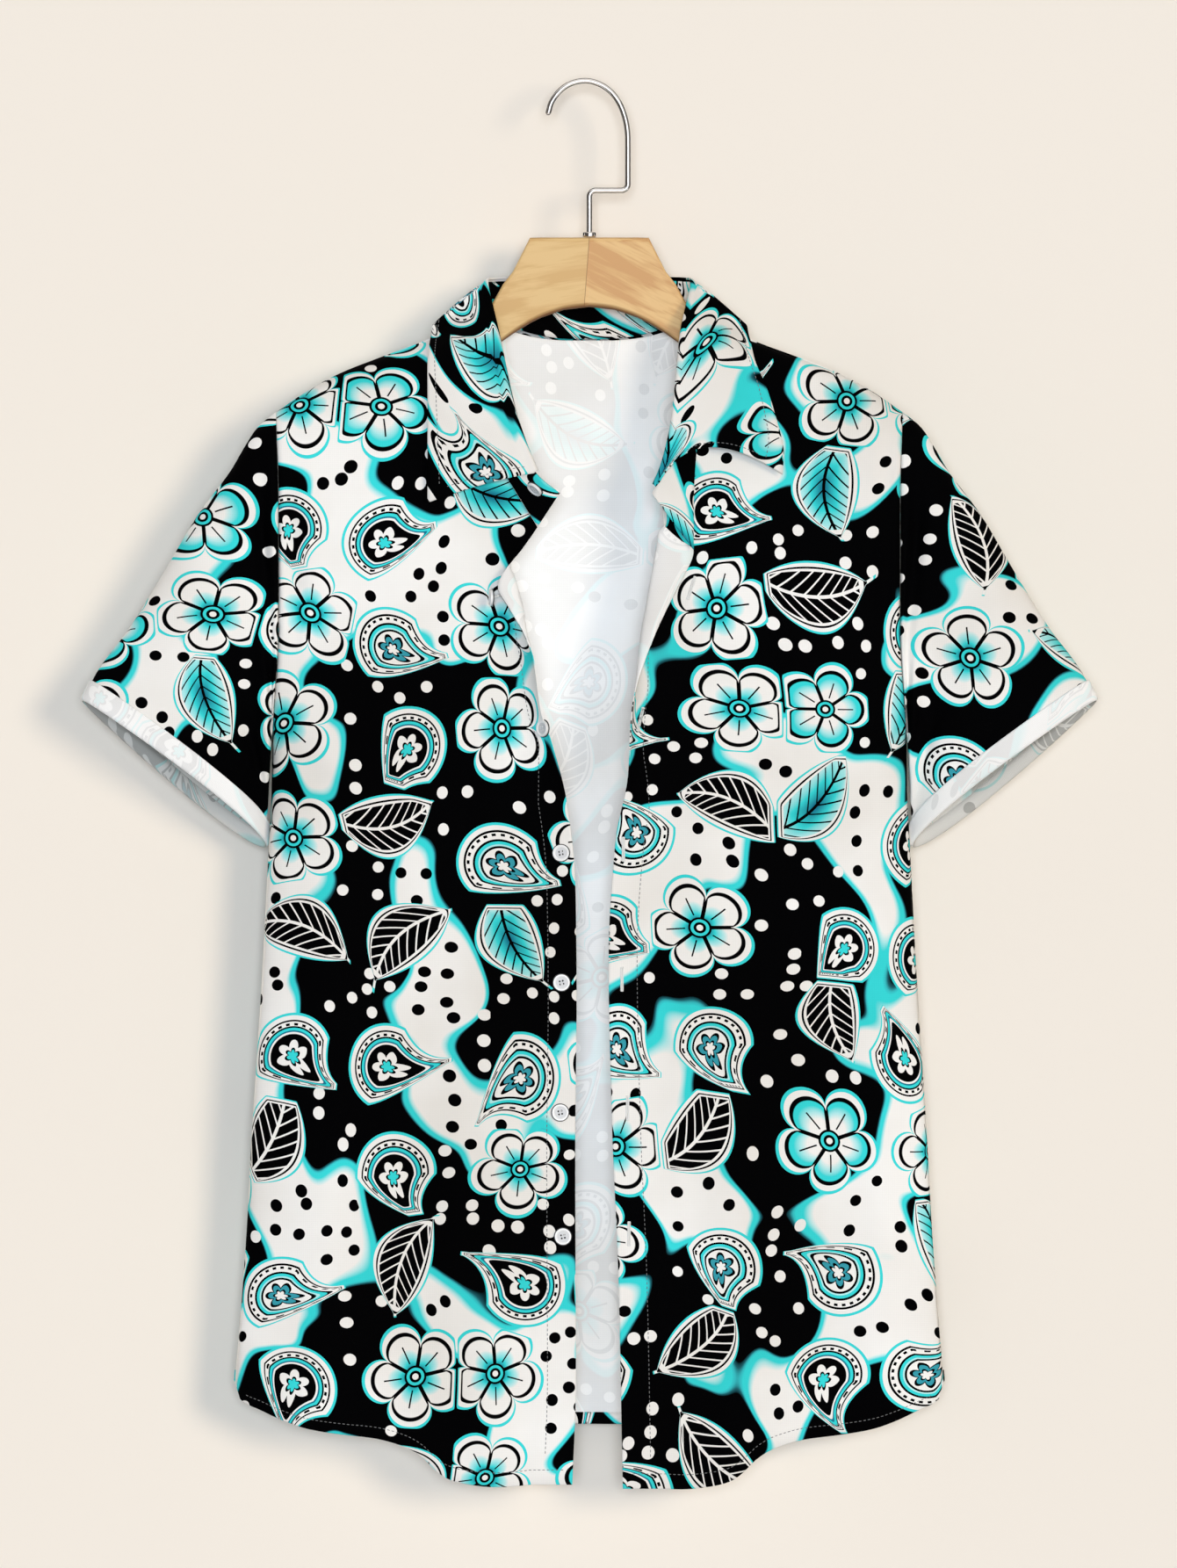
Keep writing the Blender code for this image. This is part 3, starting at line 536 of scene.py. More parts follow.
@dataclass(frozen=True)
class ResortPrint:
    """A resort print of paisley drops, five-petalled blossoms and veined leaves on a wavy ground.

    It is a generic design. Lengths are in metres on the cloth, and shares are of a motif's own cell.
    """

    inks: Inks = Inks()
    cell: float = 0.076
    scatter: float = 0.42
    wander: float = 0.013
    drop_radius: float = 0.325
    blossom_radius: float = 0.41
    leaf_length: float = 0.50
    leaf_width: float = 0.25
    bead_cell: float = 0.018
    bead_radius: float = 0.23
    petals: int = 5
    drops_below: float = 0.40  # of the motif's kind, which runs from 0 to 1
    leaves_above: float = 0.74
    shore: float = 0.53  # level of the ground's noise where black turns to white

    def motifs(self) -> NodeTree:
        """Makes the group that lays out the motifs.

        Returns:
            The group: from a place on the cloth to how far out of its motif it is (1 at the outline),
            its place in the motif, and two random numbers of that motif.
        """
        tree = bpy.data.node_groups.new("motifs", "ShaderNodeTree")
        add = partial(add_node, tree)
        tree.interface.new_socket("Vector", in_out="INPUT", socket_type="NodeSocketVector")
        for name, kind in (("Reach", "Float"), ("Place", "Vector"), ("Kind", "Float"), ("Variant", "Float")):
            tree.interface.new_socket(name, in_out="OUTPUT", socket_type="NodeSocket" + kind)
        cloth = add("NodeGroupInput")
        layout = {"Vector": cloth, "Scale": 1 / self.cell, "Randomness": self.scatter}
        spot = add("TexVoronoi", inputs=layout, voronoi_dimensions="2D")
        edge = add("TexVoronoi", inputs=layout, voronoi_dimensions="2D", feature="DISTANCE_TO_EDGE")
        away = add("VectorMath SUBTRACT", cloth, spot.outputs["Position"])
        local = add("VectorMath SCALE", away, inputs={"Scale": 1 / self.cell})
        tint = add("SeparateColor", spot.outputs["Color"])
        angle = add("Math MULTIPLY", tint, 2 * pi)
        turned = add("VectorRotate", inputs={"Vector": local, "Angle": angle}, rotation_type="Z_AXIS")
        axes = add("SeparateXYZ", turned)
        x, y = axes.outputs[0], axes.outputs[1]
        # paisley: a round head that narrows to a tip bent to one side
        up = add("Math MAXIMUM", y, 0.0)
        bent = add("Math MULTIPLY_ADD", add("Math MULTIPLY", up, up), 1.5, x)
        room = add("Math MAXIMUM", add("Math MULTIPLY_ADD", up, -1.95, 1.0), 0.12)
        wide = add("Math DIVIDE", bent, room)
        drop_place = add("CombineXYZ", wide, add("Math MULTIPLY_ADD", up, -0.38, y))
        far = add("VectorMath LENGTH", drop_place)
        drop = add("Math DIVIDE", far.outputs["Value"], self.drop_radius)
        # blossom: five round petals
        swing = add("Math COSINE", add("Math MULTIPLY", add("Math ARCTAN2", y, x), self.petals / 2))
        petal = add("Math POWER", add("Math ABSOLUTE", swing), 0.55)
        reach = add("Math MULTIPLY_ADD", petal, 0.40 * self.blossom_radius, 0.60 * self.blossom_radius)
        flat = add("CombineXYZ", x, y)
        out = add("VectorMath LENGTH", flat)
        blossom = add("Math DIVIDE", out.outputs["Value"], reach)
        # leaf: a lens bent along its midrib
        high = add("Math DIVIDE", y, self.leaf_length)
        steep = add("Math MULTIPLY", high, high)
        rib = add("Math MULTIPLY_ADD", steep, 0.14, x)
        ends = add("Math MULTIPLY_ADD", steep, -self.leaf_width, self.leaf_width)
        blade = add("Math MAXIMUM", ends, 0.012)
        across = add("Math DIVIDE", add("Math ABSOLUTE", rib), blade)
        leaf = add("Math SMOOTH_MAX", across, add("Math ABSOLUTE", high), 0.25)
        leaf_place = add("CombineXYZ", rib, y)
        # the motif of this cell, kept inside its cell
        is_drop = add("Math LESS_THAN", tint.outputs[1], self.drops_below)
        is_leaf = add("Math GREATER_THAN", tint.outputs[1], self.leaves_above)
        one = add("Mix", is_drop, inputs={2: blossom, 3: drop})
        two = add("Mix", is_leaf, inputs={2: one, 3: leaf})
        value = add("Math SMOOTH_MAX", two, add("Math MULTIPLY_ADD", edge, -6.5, 1.27), 0.10)
        first = add("Mix", is_drop, inputs={4: flat, 5: drop_place}, data_type="VECTOR")
        place = add("Mix", is_leaf, inputs={4: first.outputs[1], 5: leaf_place}, data_type="VECTOR")
        add("NodeGroupOutput", value, place.outputs[1], tint.outputs[1], tint.outputs[2])
        return tree

    def paisley(self, motif: Motif) -> Node:
        """A drop's colours: a beaded border, a cyan band and a small blossom in the middle.

        Args:
            motif: What the colours are made from.

        Returns:
            The colour.
        """
        ink = self.inks
        add, reach, place, variant = motif
        dark = add("ValToRGB", add("Math DIVIDE", reach, 1.1), top=1.1, stops=[
            (0, ink.black), (0.60, ink.white), (0.655, ink.deep), (0.70, ink.cyan), (0.77, ink.black),
            (0.82, ink.white), (0.95, ink.black)])
        pale = add("ValToRGB", add("Math DIVIDE", reach, 1.1), top=1.1, stops=[
            (0, ink.white), (0.50, ink.black), (0.56, ink.pale), (0.61, ink.cyan), (0.69, ink.black),
            (0.75, ink.white), (0.94, ink.black)])
        which = add("Math GREATER_THAN", variant, 0.5)
        body = add("MixRGB", which, dark, pale)
        axes = add("SeparateXYZ", place)
        around = add("Math ARCTAN2", axes.outputs[1], axes)
        wave = add("Math COSINE", add("Math MULTIPLY", around, 24.0))
        ring = add("Math COMPARE", reach, 0.875, 0.036)
        bead = add("Math MULTIPLY", ring, add("Math GREATER_THAN", wave, 0.1))
        body = add("MixRGB", bead, body, linear(ink.black))
        lobe = add("Math ABSOLUTE", add("Math COSINE", add("Math MULTIPLY", around, 3.0)))
        inner = add("Math DIVIDE", reach, add("Math MULTIPLY_ADD", lobe, 0.20, 0.24))
        on_dark = add("ValToRGB", add("Math DIVIDE", inner, 1.3), top=1.3, stops=[
            (0, ink.cyan), (0.36, ink.black), (0.5, ink.white), (1.0, ink.black)])
        on_pale = add("ValToRGB", add("Math DIVIDE", inner, 1.3), top=1.3, stops=[
            (0, ink.white), (0.34, ink.black), (0.48, ink.teal), (0.80, ink.black), (1.0, ink.white)])
        blossom = add("MixRGB", which, on_dark, on_pale)
        return add("MixRGB", add("Math LESS_THAN", inner, 1.0), body, blossom)

    def blossom(self, motif: Motif) -> Node:
        """A five-petalled flower's colours: shaded petals with veins round a ringed heart.

        Args:
            motif: What the colours are made from.

        Returns:
            The colour.
        """
        ink = self.inks
        add, reach, place, variant = motif
        plain = add("ValToRGB", reach, stops=[
            (0.20, ink.deep), (0.34, ink.cyan), (0.52, ink.pale), (0.62, ink.white), (0.90, ink.white),
            (0.915, ink.black)])
        strong = add("ValToRGB", reach, stops=[
            (0.25, ink.white), (0.50, ink.white), (0.64, ink.pale), (0.80, ink.cyan), (0.90, ink.cyan),
            (0.915, ink.black)])
        body = add("MixRGB", add("Math GREATER_THAN", variant, 0.62), plain, strong)
        axes = add("SeparateXYZ", place)
        half = add("Math MULTIPLY", add("Math ARCTAN2", axes.outputs[1], axes), self.petals / 2)
        between = add("Math COSINE", half)
        middle = add("Math SINE", half)
        far = add("VectorMath LENGTH", place)
        near = add("Math DIVIDE", 0.017, far.outputs["Value"])
        edge = add("Math COMPARE", between, 0.0, add("Math MULTIPLY", near, 2.5))
        body = add("MixRGB", edge, body, linear(ink.black))
        rib = add("Math COMPARE", middle, 0.0, near)
        vein = add("Math MULTIPLY", rib, add("Math COMPARE", reach, 0.50, 0.20))
        body = add("MixRGB", vein, body, linear(ink.black))
        heart = add("ValToRGB", add("Math DIVIDE", far.outputs["Value"], 0.2), top=0.2, stops=[
            (0, ink.white), (0.028, ink.black), (0.052, ink.cyan), (0.078, ink.black), (0.098, ink.white)])
        return add("MixRGB", add("Math LESS_THAN", far.outputs["Value"], 0.098), body, heart)

    def leaf(self, motif: Motif) -> Node:
        """A leaf's colours: a dark or cyan blade with its midrib and side veins.

        Args:
            motif: What the colours are made from.

        Returns:
            The colour.
        """
        ink = self.inks
        add, reach, place, variant = motif
        axes = add("SeparateXYZ", place)
        side = add("Math ABSOLUTE", axes)
        comb = add("Math FLOORED_MODULO", add("Math MULTIPLY_ADD", side, -1.1, axes.outputs[1]), 0.115)
        veins = add("Math LESS_THAN", comb, 0.020)
        lines = add("Math MAXIMUM", veins, add("Math LESS_THAN", side, 0.014))
        blade = add("ValToRGB", reach, stops=[(0.1, ink.deep), (0.45, ink.cyan), (0.8, ink.pale)])
        which = add("Math GREATER_THAN", variant, 0.45)
        fill = add("MixRGB", which, linear(ink.black), blade)
        body = add("MixRGB", lines, fill, add("MixRGB", which, linear(ink.white), linear(ink.black)))
        rim = add("ValToRGB", add("Math DIVIDE", reach, 1.1), top=1.1, stops=[
            (0, ink.white), (0.93, ink.black)])
        return add("MixRGB", add("Math GREATER_THAN", reach, 0.84), body, rim)

    def ground(self, add: Adder, place: Node | NodeSocket) -> Node:
        """The noise whose level line parts the ground's black from its white."""
        return add("TexNoise", inputs={"Vector": place, "Scale": 11.0, "Detail": 0.6, "Distortion": 0.35})

    def build(self) -> NodeTree:
        """Makes the print as a node group.

        Returns:
            The group, from the cloth's own coordinates to a colour.
        """
        ink = self.inks
        tree = bpy.data.node_groups.new("resort_print", "ShaderNodeTree")
        add = partial(add_node, tree)
        tree.interface.new_socket("Vector", in_out="INPUT", socket_type="NodeSocketVector")
        tree.interface.new_socket("Color", in_out="OUTPUT", socket_type="NodeSocketColor")
        motifs = self.motifs()
        start = add("NodeGroupInput")
        sway = add("TexNoise", inputs={"Vector": start, "Scale": 9.0, "Detail": 0.0})
        middle = add("VectorMath SUBTRACT", sway.outputs[1], (0.5, 0.5, 0.5))
        pull = add("VectorMath SCALE", middle, inputs={"Scale": self.wander * 2})
        cloth = add("VectorMath ADD", start, pull)
        layout = add("Group", cloth, node_tree=motifs)
        reach, place, kind, variant = layout.outputs
        motif = Motif(add, reach, place, variant)
        level = self.ground(add, cloth)
        result = add("ValToRGB", level, stops=[
            (0.0, ink.black), (0.511, ink.black), (0.513, ink.teal), (0.518, ink.cyan), (0.532, ink.cyan),
            (0.541, ink.pale), (0.550, ink.white)])
        # small beads, each whole and well clear of the motifs
        grain = add("TexVoronoi", voronoi_dimensions="2D",
                    inputs={"Vector": cloth, "Scale": 1 / self.bead_cell, "Randomness": 0.7})
        where = grain.outputs["Position"]
        clear = add("Group", where, node_tree=motifs)
        there = self.ground(add, where)
        white = add("Math GREATER_THAN", there, self.shore)
        some = add("SeparateColor", grain.outputs["Color"])
        open_ground = add("Math GREATER_THAN", clear, 1.52)
        open_ground = add("Math MULTIPLY", open_ground, some)
        open_ground = add("Math GREATER_THAN", open_ground, 0.3)
        edge = add("Math COMPARE", there, self.shore, 0.03)
        inner = add("Math SUBTRACT", open_ground, edge, use_clamp=True)
        dot = add("ValToRGB", add("Math DIVIDE", grain, 0.6), top=0.6, stops=[
            (0, "#FFFFFF"), (self.bead_radius, "#000000")])
        ring = add("Math MULTIPLY", dot, inner)
        result = add("MixRGB", ring, result, add("MixRGB", white, linear(ink.white), linear(ink.black)))
        rims = add("ValToRGB", add("Math DIVIDE", reach, 1.5), top=1.5, stops=[
            (0, ink.black), (1.0, ink.white), (1.13, ink.cyan), (1.24, ink.black)])
        result = add("MixRGB", add("Math LESS_THAN", reach, 1.205), result, rims)
        drop, flower, leaf = self.paisley(motif), self.blossom(motif), self.leaf(motif)
        is_drop = add("Math LESS_THAN", kind, self.drops_below)
        is_leaf = add("Math GREATER_THAN", kind, self.leaves_above)
        body = add("MixRGB", is_drop, flower, drop)
        body = add("MixRGB", is_leaf, body, leaf)
        result = add("MixRGB", add("Math LESS_THAN", reach, 1.0), result, body)
        add("NodeGroupOutput", result)
        return tree


@dataclass(frozen=True)
class Cloth:
    """A light plain-woven polyester and cotton: matt, so that its black ink stays deep."""

    name: str
    show: float  # how strongly the print shows, less on the reverse
    base: str = "#FEFEFE"
    thread_mm: float = 1.1  # a real thread is about 0.25 mm; drawn coarser so that it shows
    roughness: float = 0.78
    through: float = 0.0  # a faint glow on the inside: painted light that lightens its shade

    def build(self, pattern: NodeTree) -> Material:
        """Makes the material.

        Args:
            pattern: The print's group.

        Returns:
            The material, with the print at the finish's own strength.
        """
        made, shader, add = new_material(self.name)
        place = add("UVMap", uv_map="cloth")
        ink = add("Group", place, node_tree=pattern)
        # random blotches a few per cent darker: painted shade like the soft mottling of hanging cloth
        painted_mottle = add("TexNoise", inputs={"Vector": place, "Scale": 6.0, "Detail": 4.0})
        blend = add("MixRGB", self.show, linear(self.base), ink)
        shade = add("ValToRGB", painted_mottle, stops=[(0.35, "#EDEAE6"), (0.62, "#FFFFFF")])
        toned = add("MixRGB", 1.0, blend, shade, blend_type="MULTIPLY")
        pitch = {"Vector": place, "Scale": 0.314 / (self.thread_mm * MM)}
        turns = [add("TexWave", inputs=pitch, bands_direction=way) for way in ("X", "Y")]
        weave = add("Math MULTIPLY", turns[0].outputs[1], turns[1].outputs[1])
        thread = add("Math MULTIPLY_ADD", weave, -0.07, 1.0)
        woven = add("MixRGB", 1.0, toned, thread, blend_type="MULTIPLY")
        crumple = add("TexNoise", inputs={"Vector": place, "Scale": 38.0, "Detail": 3.0, "Roughness": 0.55})
        first = add("Bump", inputs={"Strength": 0.35, "Distance": 0.0012, "Height": crumple})
        second = add("Bump", inputs={"Strength": 0.25, "Distance": 0.0003, "Height": weave, "Normal": first})
        # the emission is the painted glow that lightens the shaded inside
        plug(shader, {"Base Color": woven, "Normal": second, "Emission Color": linear(self.base),
                      "Emission Strength": self.through, "Roughness": self.roughness,
                      "Specular IOR Level": 0.01})
        return made


@dataclass(frozen=True)
class Wood:
    """Lacquered beech: straight grain, satin, with painted shade where the edge turns under the arch."""

    name: str = "lacquered beech"
    # light and dark tone of the left and the right half, and how far the grain is turned
    halves: tuple[tuple[str, str, float], ...] = (("#DCB97F", "#CFA76C", 9.0), ("#E0B97F", "#CB9A63", -27.0))
    stretch: float = 0.07
    # dark brown of the glue line and of the painted shade under the arch
    rim: str = "#74491F"
    joint_lean: float = 0.074
    joint_foot: float = 0.00807
    joint_half: float = 0.00028

    def build(self) -> Material:
        """Makes the material.

        Returns:
            The material, whose two tones of wood meet along a slanting glue line.
        """
        made, shader, add = new_material(self.name)
        place = add("TexCoord").outputs["Object"]
        axes = add("SeparateXYZ", place)
        tones, fibres = [], []
        for light, dark, turn in self.halves:
            turned = add("VectorRotate", rotation_type="Y_AXIS",
                         inputs={"Vector": place, "Angle": radians(turn)})
            board = add("VectorMath MULTIPLY", turned, (self.stretch, 9.0, 1.0))
            bands = add("TexNoise", inputs={"Vector": board, "Scale": 110.0, "Detail": 3.0, "Roughness": 0.6})
            fibre = add("VectorMath MULTIPLY", turned, (0.05, 1.0, 1.0))
            fine = add("TexNoise", inputs={"Vector": fibre, "Scale": 900.0, "Detail": 2.0})
            grain = add("Math MULTIPLY_ADD", fine, 0.28, bands)
            tones.append(add("ValToRGB", grain, stops=[(0.54, dark), (0.72, light)]))
            fibres.append(fine)
        across = add("Math MULTIPLY_ADD", axes.outputs[2], -self.joint_lean, axes)
        tone = add("MixRGB", add("Math GREATER_THAN", across, self.joint_foot), tones[0], tones[1])
        thin = add("Math MULTIPLY", add("Math COMPARE", across, self.joint_foot, self.joint_half), 0.6)
        tone = add("MixRGB", thin, tone, linear(self.rim))
        # painted shade: the lower edge of the arch darkens towards the brown
        square = add("Math MULTIPLY", axes.outputs[0], axes.outputs[0])
        arch = add("Math MULTIPLY_ADD", square, 6.5, axes.outputs[2])
        under = add("MapRange", arch, -0.1572, -0.1546, 0.95, 0.0)
        arch_shaded_tone = add("MixRGB", under, tone, linear(self.rim))
        bump = add("Bump", inputs={"Strength": 0.15, "Distance": 0.0002, "Height": fibres[0]})
        plug(shader, {"Base Color": arch_shaded_tone, "Normal": bump, "Roughness": 0.58, "Specular IOR Level": 0.3})
        return made


@dataclass(frozen=True)
class Plain:
    """A finish of one colour, with fine unevenness in its tone and polish."""

    name: str
    colour: str
    roughness: float
    metallic: float = 0.0
    spread: float = 0.08
    grit: float = 400.0

    def build(self) -> Material:
        """Makes the material.

        Returns:
            The material.
        """
        made, shader, add = new_material(self.name)
        place = add("TexCoord").outputs["Object"]
        spots = add("TexNoise", inputs={"Vector": place, "Scale": self.grit, "Detail": 3.0})
        low, high = self.roughness - self.spread / 2, self.roughness + self.spread / 2
        polish = add("MapRange", spots, inputs={3: low, 4: high})
        tone = add("MapRange", spots, inputs={3: 0.94, 4: 1.0})
        colour = add("MixRGB", 1.0, linear(self.colour), tone, blend_type="MULTIPLY")
        plug(shader, {"Base Color": colour, "Roughness": polish, "Metallic": self.metallic})
        return made


class Finishes:
    """Every finish of the part, made once."""

    def __init__(self) -> None:
        """Makes the print and the materials."""
        pattern = ResortPrint().build()
        self.face = Cloth("printed face of the cloth", 1.0).build(pattern)
        self.reverse = Cloth("reverse of the cloth", 0.14).build(pattern)
        # inside the sleeves and cuffs: the reverse with a stronger print, greyed as painted shade
        self.shaded_sleeve_inside = Cloth("reverse of the sleeve cloth", 0.30, base="#D0D0CC").build(pattern)
        # the panels' inner faces glow faintly: painted light that lightens their shade
        self.inside = Cloth("reverse of the cloth with a painted glow", 0.14, through=0.07).build(pattern)
        # the buttons: a glossy white rim, a matt dish whose darker grey is painted shade, and a black disc
        # below as painted shade round the edge and in the holes
        self.button = Plain("polished polyester button", "#EDEDED", 0.30).build()
        self.dish = Plain("matt middle of a polyester button", "#CDCED1", 0.5).build()
        self.button_shade_disc = Plain("black disc of painted shade under a button", "#0B0B0C", 0.6).build()
        # spun thread is matt: white on the slits, and grey where it sinks into the print
        self.thread = Plain("white polyester thread", "#F2F2F0", 0.6, grit=3000.0).build()
        self.dark_thread = Plain("grey polyester thread", "#77797B", 0.65, grit=3000.0).build()
        self.wood = Wood().build()
        # plated wire is polished, so it shows dark and bright streaks
        self.chrome = Plain("polished chrome plating", "#EDEDEF", 0.10, 1.0).build()


# ---- cloth pieces


@dataclass
class Sheet:
    """One sheet of cloth from one or more grids of points, with its print laid along it."""

    name: str
    nodes: tuple[str, ...]
    flat: tuple[float, float]
    area: float
    held: str
    rests_on: tuple[str, ...]
    thick: float = 0.0008
    print_at: tuple[float, float] = (0.0, 0.0)

    def make(self, grids: list[Array], face: Material, inner: Material,
             prints: list[Array] | None = None, ring: bool = False) -> Object:
        """Args:
            grids: Rows by columns by 3 each; rows run down and columns to the right.
            face: The outer finish.
            inner: The inner one.
            prints: u and v of the grids' points, or the lengths along them where they aren't given.
            ring: Whether each row closes on itself.

        Returns:
            The sheet's object.
        """
        build = bmesh.new()
        layer = build.loops.layers.uv.new("cloth")
        for i, grid in enumerate(grids):
            shown = closed(grid) if ring else grid
            lengths = np.stack([run_lengths(shown, 1, 0), -run_lengths(shown, 0, 0)], axis=-1)
            flat = (lengths if prints is None else prints[i]) + np.array(self.print_at)
            verts = [[build.verts.new(point) for point in row] for row in grid]
            if ring:
                verts = [row + row[:1] for row in verts]
            for r, (upper, lower) in enumerate(zip(verts, verts[1:])):
                for c in range(len(upper) - 1):
                    corners = ((r, c), (r + 1, c), (r + 1, c + 1), (r, c + 1))
                    made = build.faces.new((upper[c], lower[c], lower[c + 1], upper[c + 1]))
                    for loop, corner in zip(made.loops, corners):
                        loop[layer].uv = flat[corner]
        bmesh.ops.remove_doubles(build, verts=build.verts, dist=1e-6)
        mesh = bpy.data.meshes.new(self.name)
        build.to_mesh(mesh)
        build.free()
        mesh.shade_smooth()
        for finish in (face, inner):
            mesh.materials.append(finish)
        slot = "cloth_reverse" if self.nodes[0].startswith("cuff") else "printed_cloth"
        made = add_piece(self.name, mesh, slot, *self.nodes)
        wall = made.modifiers.new("Wall", "SOLIDIFY")
        wall.thickness = self.thick
        wall.offset = -1
        wall.material_offset = 1
        wall.material_offset_rim = 0
        log.info("%s: %d faces", self.name, len(mesh.polygons))
        return made


@dataclass(frozen=True)
class PanelRows:
    """The rows that the front and back panels share, so that their side seams meet."""

    neck_rows: int = 7
    arm_rows: int = 10
    edge_rows: int = 18
    crowd: float = 1.55
    fine: int = 6
    # how far in and up from the foot the hem's turned cloth runs
    hem_fold: Table = (
        (0.0006, -0.0005), (0.0016, 0.0002), (0.0019, 0.0015), (0.0019, 0.004), (0.0019, 0.008))
    underarm_gap: float = 0.0011
    underarm_fade: float = 0.080
    gap_share: float = 0.1
    seam_depth: float = 0.0030
    groove_mm: float = 3.0

    @property
    def last(self) -> int:
        """The coarse place of the last row, at the hem."""
        return self.neck_rows + self.edge_rows - 1

    def across(self, columns: int) -> Array:
        """Shares of the way across a half panel, closest at its outer edge."""
        even = np.linspace(0, 1, columns)
        return 0.5 * (1 - (1 - even) ** 1.5) + 0.5 * even

    def ends(self) -> Array:
        """Heights of the rows at the panel's outer edge.

        Returns:
            One a coarse row.
        """
        arm = FORM.shoulder + (FORM.underarm - FORM.shoulder) * np.linspace(0, 1, self.arm_rows) ** self.crowd
        count = self.neck_rows + self.edge_rows - self.arm_rows
        side = np.linspace(FORM.underarm, FORM.side[-1][0], count + 1)[1:]
        return np.append(arm, side)

    def places(self) -> Array:
        """Row places, finer than the solids' and closest at the shoulder."""
        top = np.array([0.0, 0.02, 0.06, 0.12, 0.22, 0.34, 0.5, 0.66, 0.83])
        return np.append(top, np.linspace(1, self.last, (self.last - 1) * self.fine + 1))

    def at(self, coarse: Array) -> Array:
        """Values at the finer places of a run with a corner at the neck's end.

        Args:
            coarse: One value or point a coarse row.

        Returns:
            One a fine row.
        """
        rows, corner = coarse.reshape(len(coarse), -1), self.neck_rows - 1
        run = np.concatenate([smooth_run(rows[:corner + 1], 12)[:-1], smooth_run(rows[corner:], 12)])
        keys = np.linspace(0, len(coarse) - 1, len(run))
        return np.stack([np.interp(self.places(), keys, axis) for axis in run.T], axis=1)

    def bow(self, curve: Table, start: float, end: float) -> tuple[Array, Array]:
        """A curve's departure from the straight line between two of its points.

        Args:
            curve: The curve's points.
            start: Where the line starts.
            end: Where it ends.

        Returns:
            Places along it and the departures there.
        """
        xs = np.linspace(start, end, 60)
        heights = look_up(curve, xs)
        return xs, heights - np.interp(xs, [start, end], [heights[0], heights[-1]])

    def row(self, start: Array, end_z: float, share: float, bows: tuple, side: Side, facing: Facing,
            steps: Array) -> Array:
        """One row of a half panel, from its inner point to the outer edge.

        Args:
            start: x outwards and z of the inner point.
            end_z: Height at the outer edge.
            share: 0 at the shoulder to 1 at the hem.
            bows: Departures of the shoulder line and the hem from straight ones.
            side: Left or right half.
            facing: Front or back.
            steps: Shares of the way across.

        Returns:
            The row's points.
        """
        end_x = float(FORM.outer_x(end_z))
        x = start[0] + steps * (end_x - start[0])
        z = start[1] + steps * (end_z - start[1])
        z = z + np.interp(x, *bows[0]) * (1 - share) ** 3 * (1 - steps) ** (0.5 * min(share * self.last, 1))
        z = z + np.interp(x, *bows[1]) * share**4
        gap = self.underarm_gap * np.clip(1 - (FORM.underarm - end_z) / self.underarm_fade, 0, 1)
        if end_z < FORM.underarm + 1e-6:
            lift = gap * ease((steps - (1 - self.gap_share)) / self.gap_share)
        else:
            lift = -self.groove(end_z) * ease((x - end_x) / MM / self.groove_mm + 1)
        return FORM.point(side * x, z, facing, lift)

    def groove(self, height: Array | float) -> Array:
        """How far the armhole's seam lies in, which is nothing at the shoulder and the underarm."""
        share = np.clip((FORM.shoulder - height) / (FORM.shoulder - FORM.underarm), 0, 1)
        return self.seam_depth * np.sqrt(np.sin(pi * share))

    def with_hem(self, rows: Array, facing: Facing) -> Array:
        """Turns the last rows' cloth in and up into a narrow hem.

        Args:
            rows: The panel's points.
            facing: Front or back.

        Returns:
            The points with the hem's rows added.
        """
        foot = rows[-1]
        up = rows[-1 - self.fine * 2] - foot
        up = up / np.linalg.norm(up, axis=1, keepdims=True)
        inward = np.array([0, -facing, 0])
        extra = [foot + inner * inward + rise * up for inner, rise in self.hem_fold]
        return np.concatenate([rows, np.array(extra)])


@dataclass(frozen=True)
class FrontEdge:
    """A front edge below the neck, where the cloth has rolled back over the panel.

    The table's columns are the height, the outline seen from the front, the cut edge, and how far
    the cut edge stands off the panel.
    """

    table: Table
    roll_width: float = 0.030
    curl_lift: float = 0.006
    columns: int = 18
    halvings: int = 20

    def read(self, height: float) -> tuple[float, float, float]:
        """Outline, cut edge and lift at a height."""
        return tuple(float(look_up(self.table, height, column)) for column in (1, 2, 3))

    def roll(self, height: float, panel_x: float, strength: float) -> Array:
        """x and y from the cut edge in to the panel.

        Args:
            height: z of the row.
            panel_x: x where the flat panel starts, signed.
            strength: 0 to 1, less where the roll starts below the neck.

        Returns:
            A point a column.
        """
        outline, edge, lift = self.read(height)
        lift *= strength
        side = np.sign(panel_x)
        face = FORM.point(outline, height, Facing.FRONT)[1]
        start = np.array([panel_x, FORM.point(panel_x, height, Facing.FRONT)[1]])
        end = np.array([edge, face - lift])
        steps = np.linspace(1, 0, self.columns + 1)[:-1, None]

        def folded(turn: float) -> Array:
            """The fold for a place of its turning line."""
            bend, over = np.array([turn, face]), np.array([turn, face - lift])
            return ((1 - steps) ** 3 * start + 3 * steps * (1 - steps) ** 2 * bend
                    + 3 * steps**2 * (1 - steps) * over + steps**3 * end)

        near, far = outline, outline - side * self.roll_width
        for _ in range(self.halvings):
            middle = (near + far) / 2
            if (side * folded(middle)[:, 0]).min() < side * outline - 1e-6:
                far = middle
            else:
                near = middle
        curled = start + (np.array([edge, face]) - start) * steps
        curled[:, 1] -= lift * steps[:, 0] ** 2
        rolled = max(lift - self.curl_lift, abs(edge - outline)) / self.curl_lift
        return curled + (folded(near) - curled) * np.clip(rolled, 0, 1)


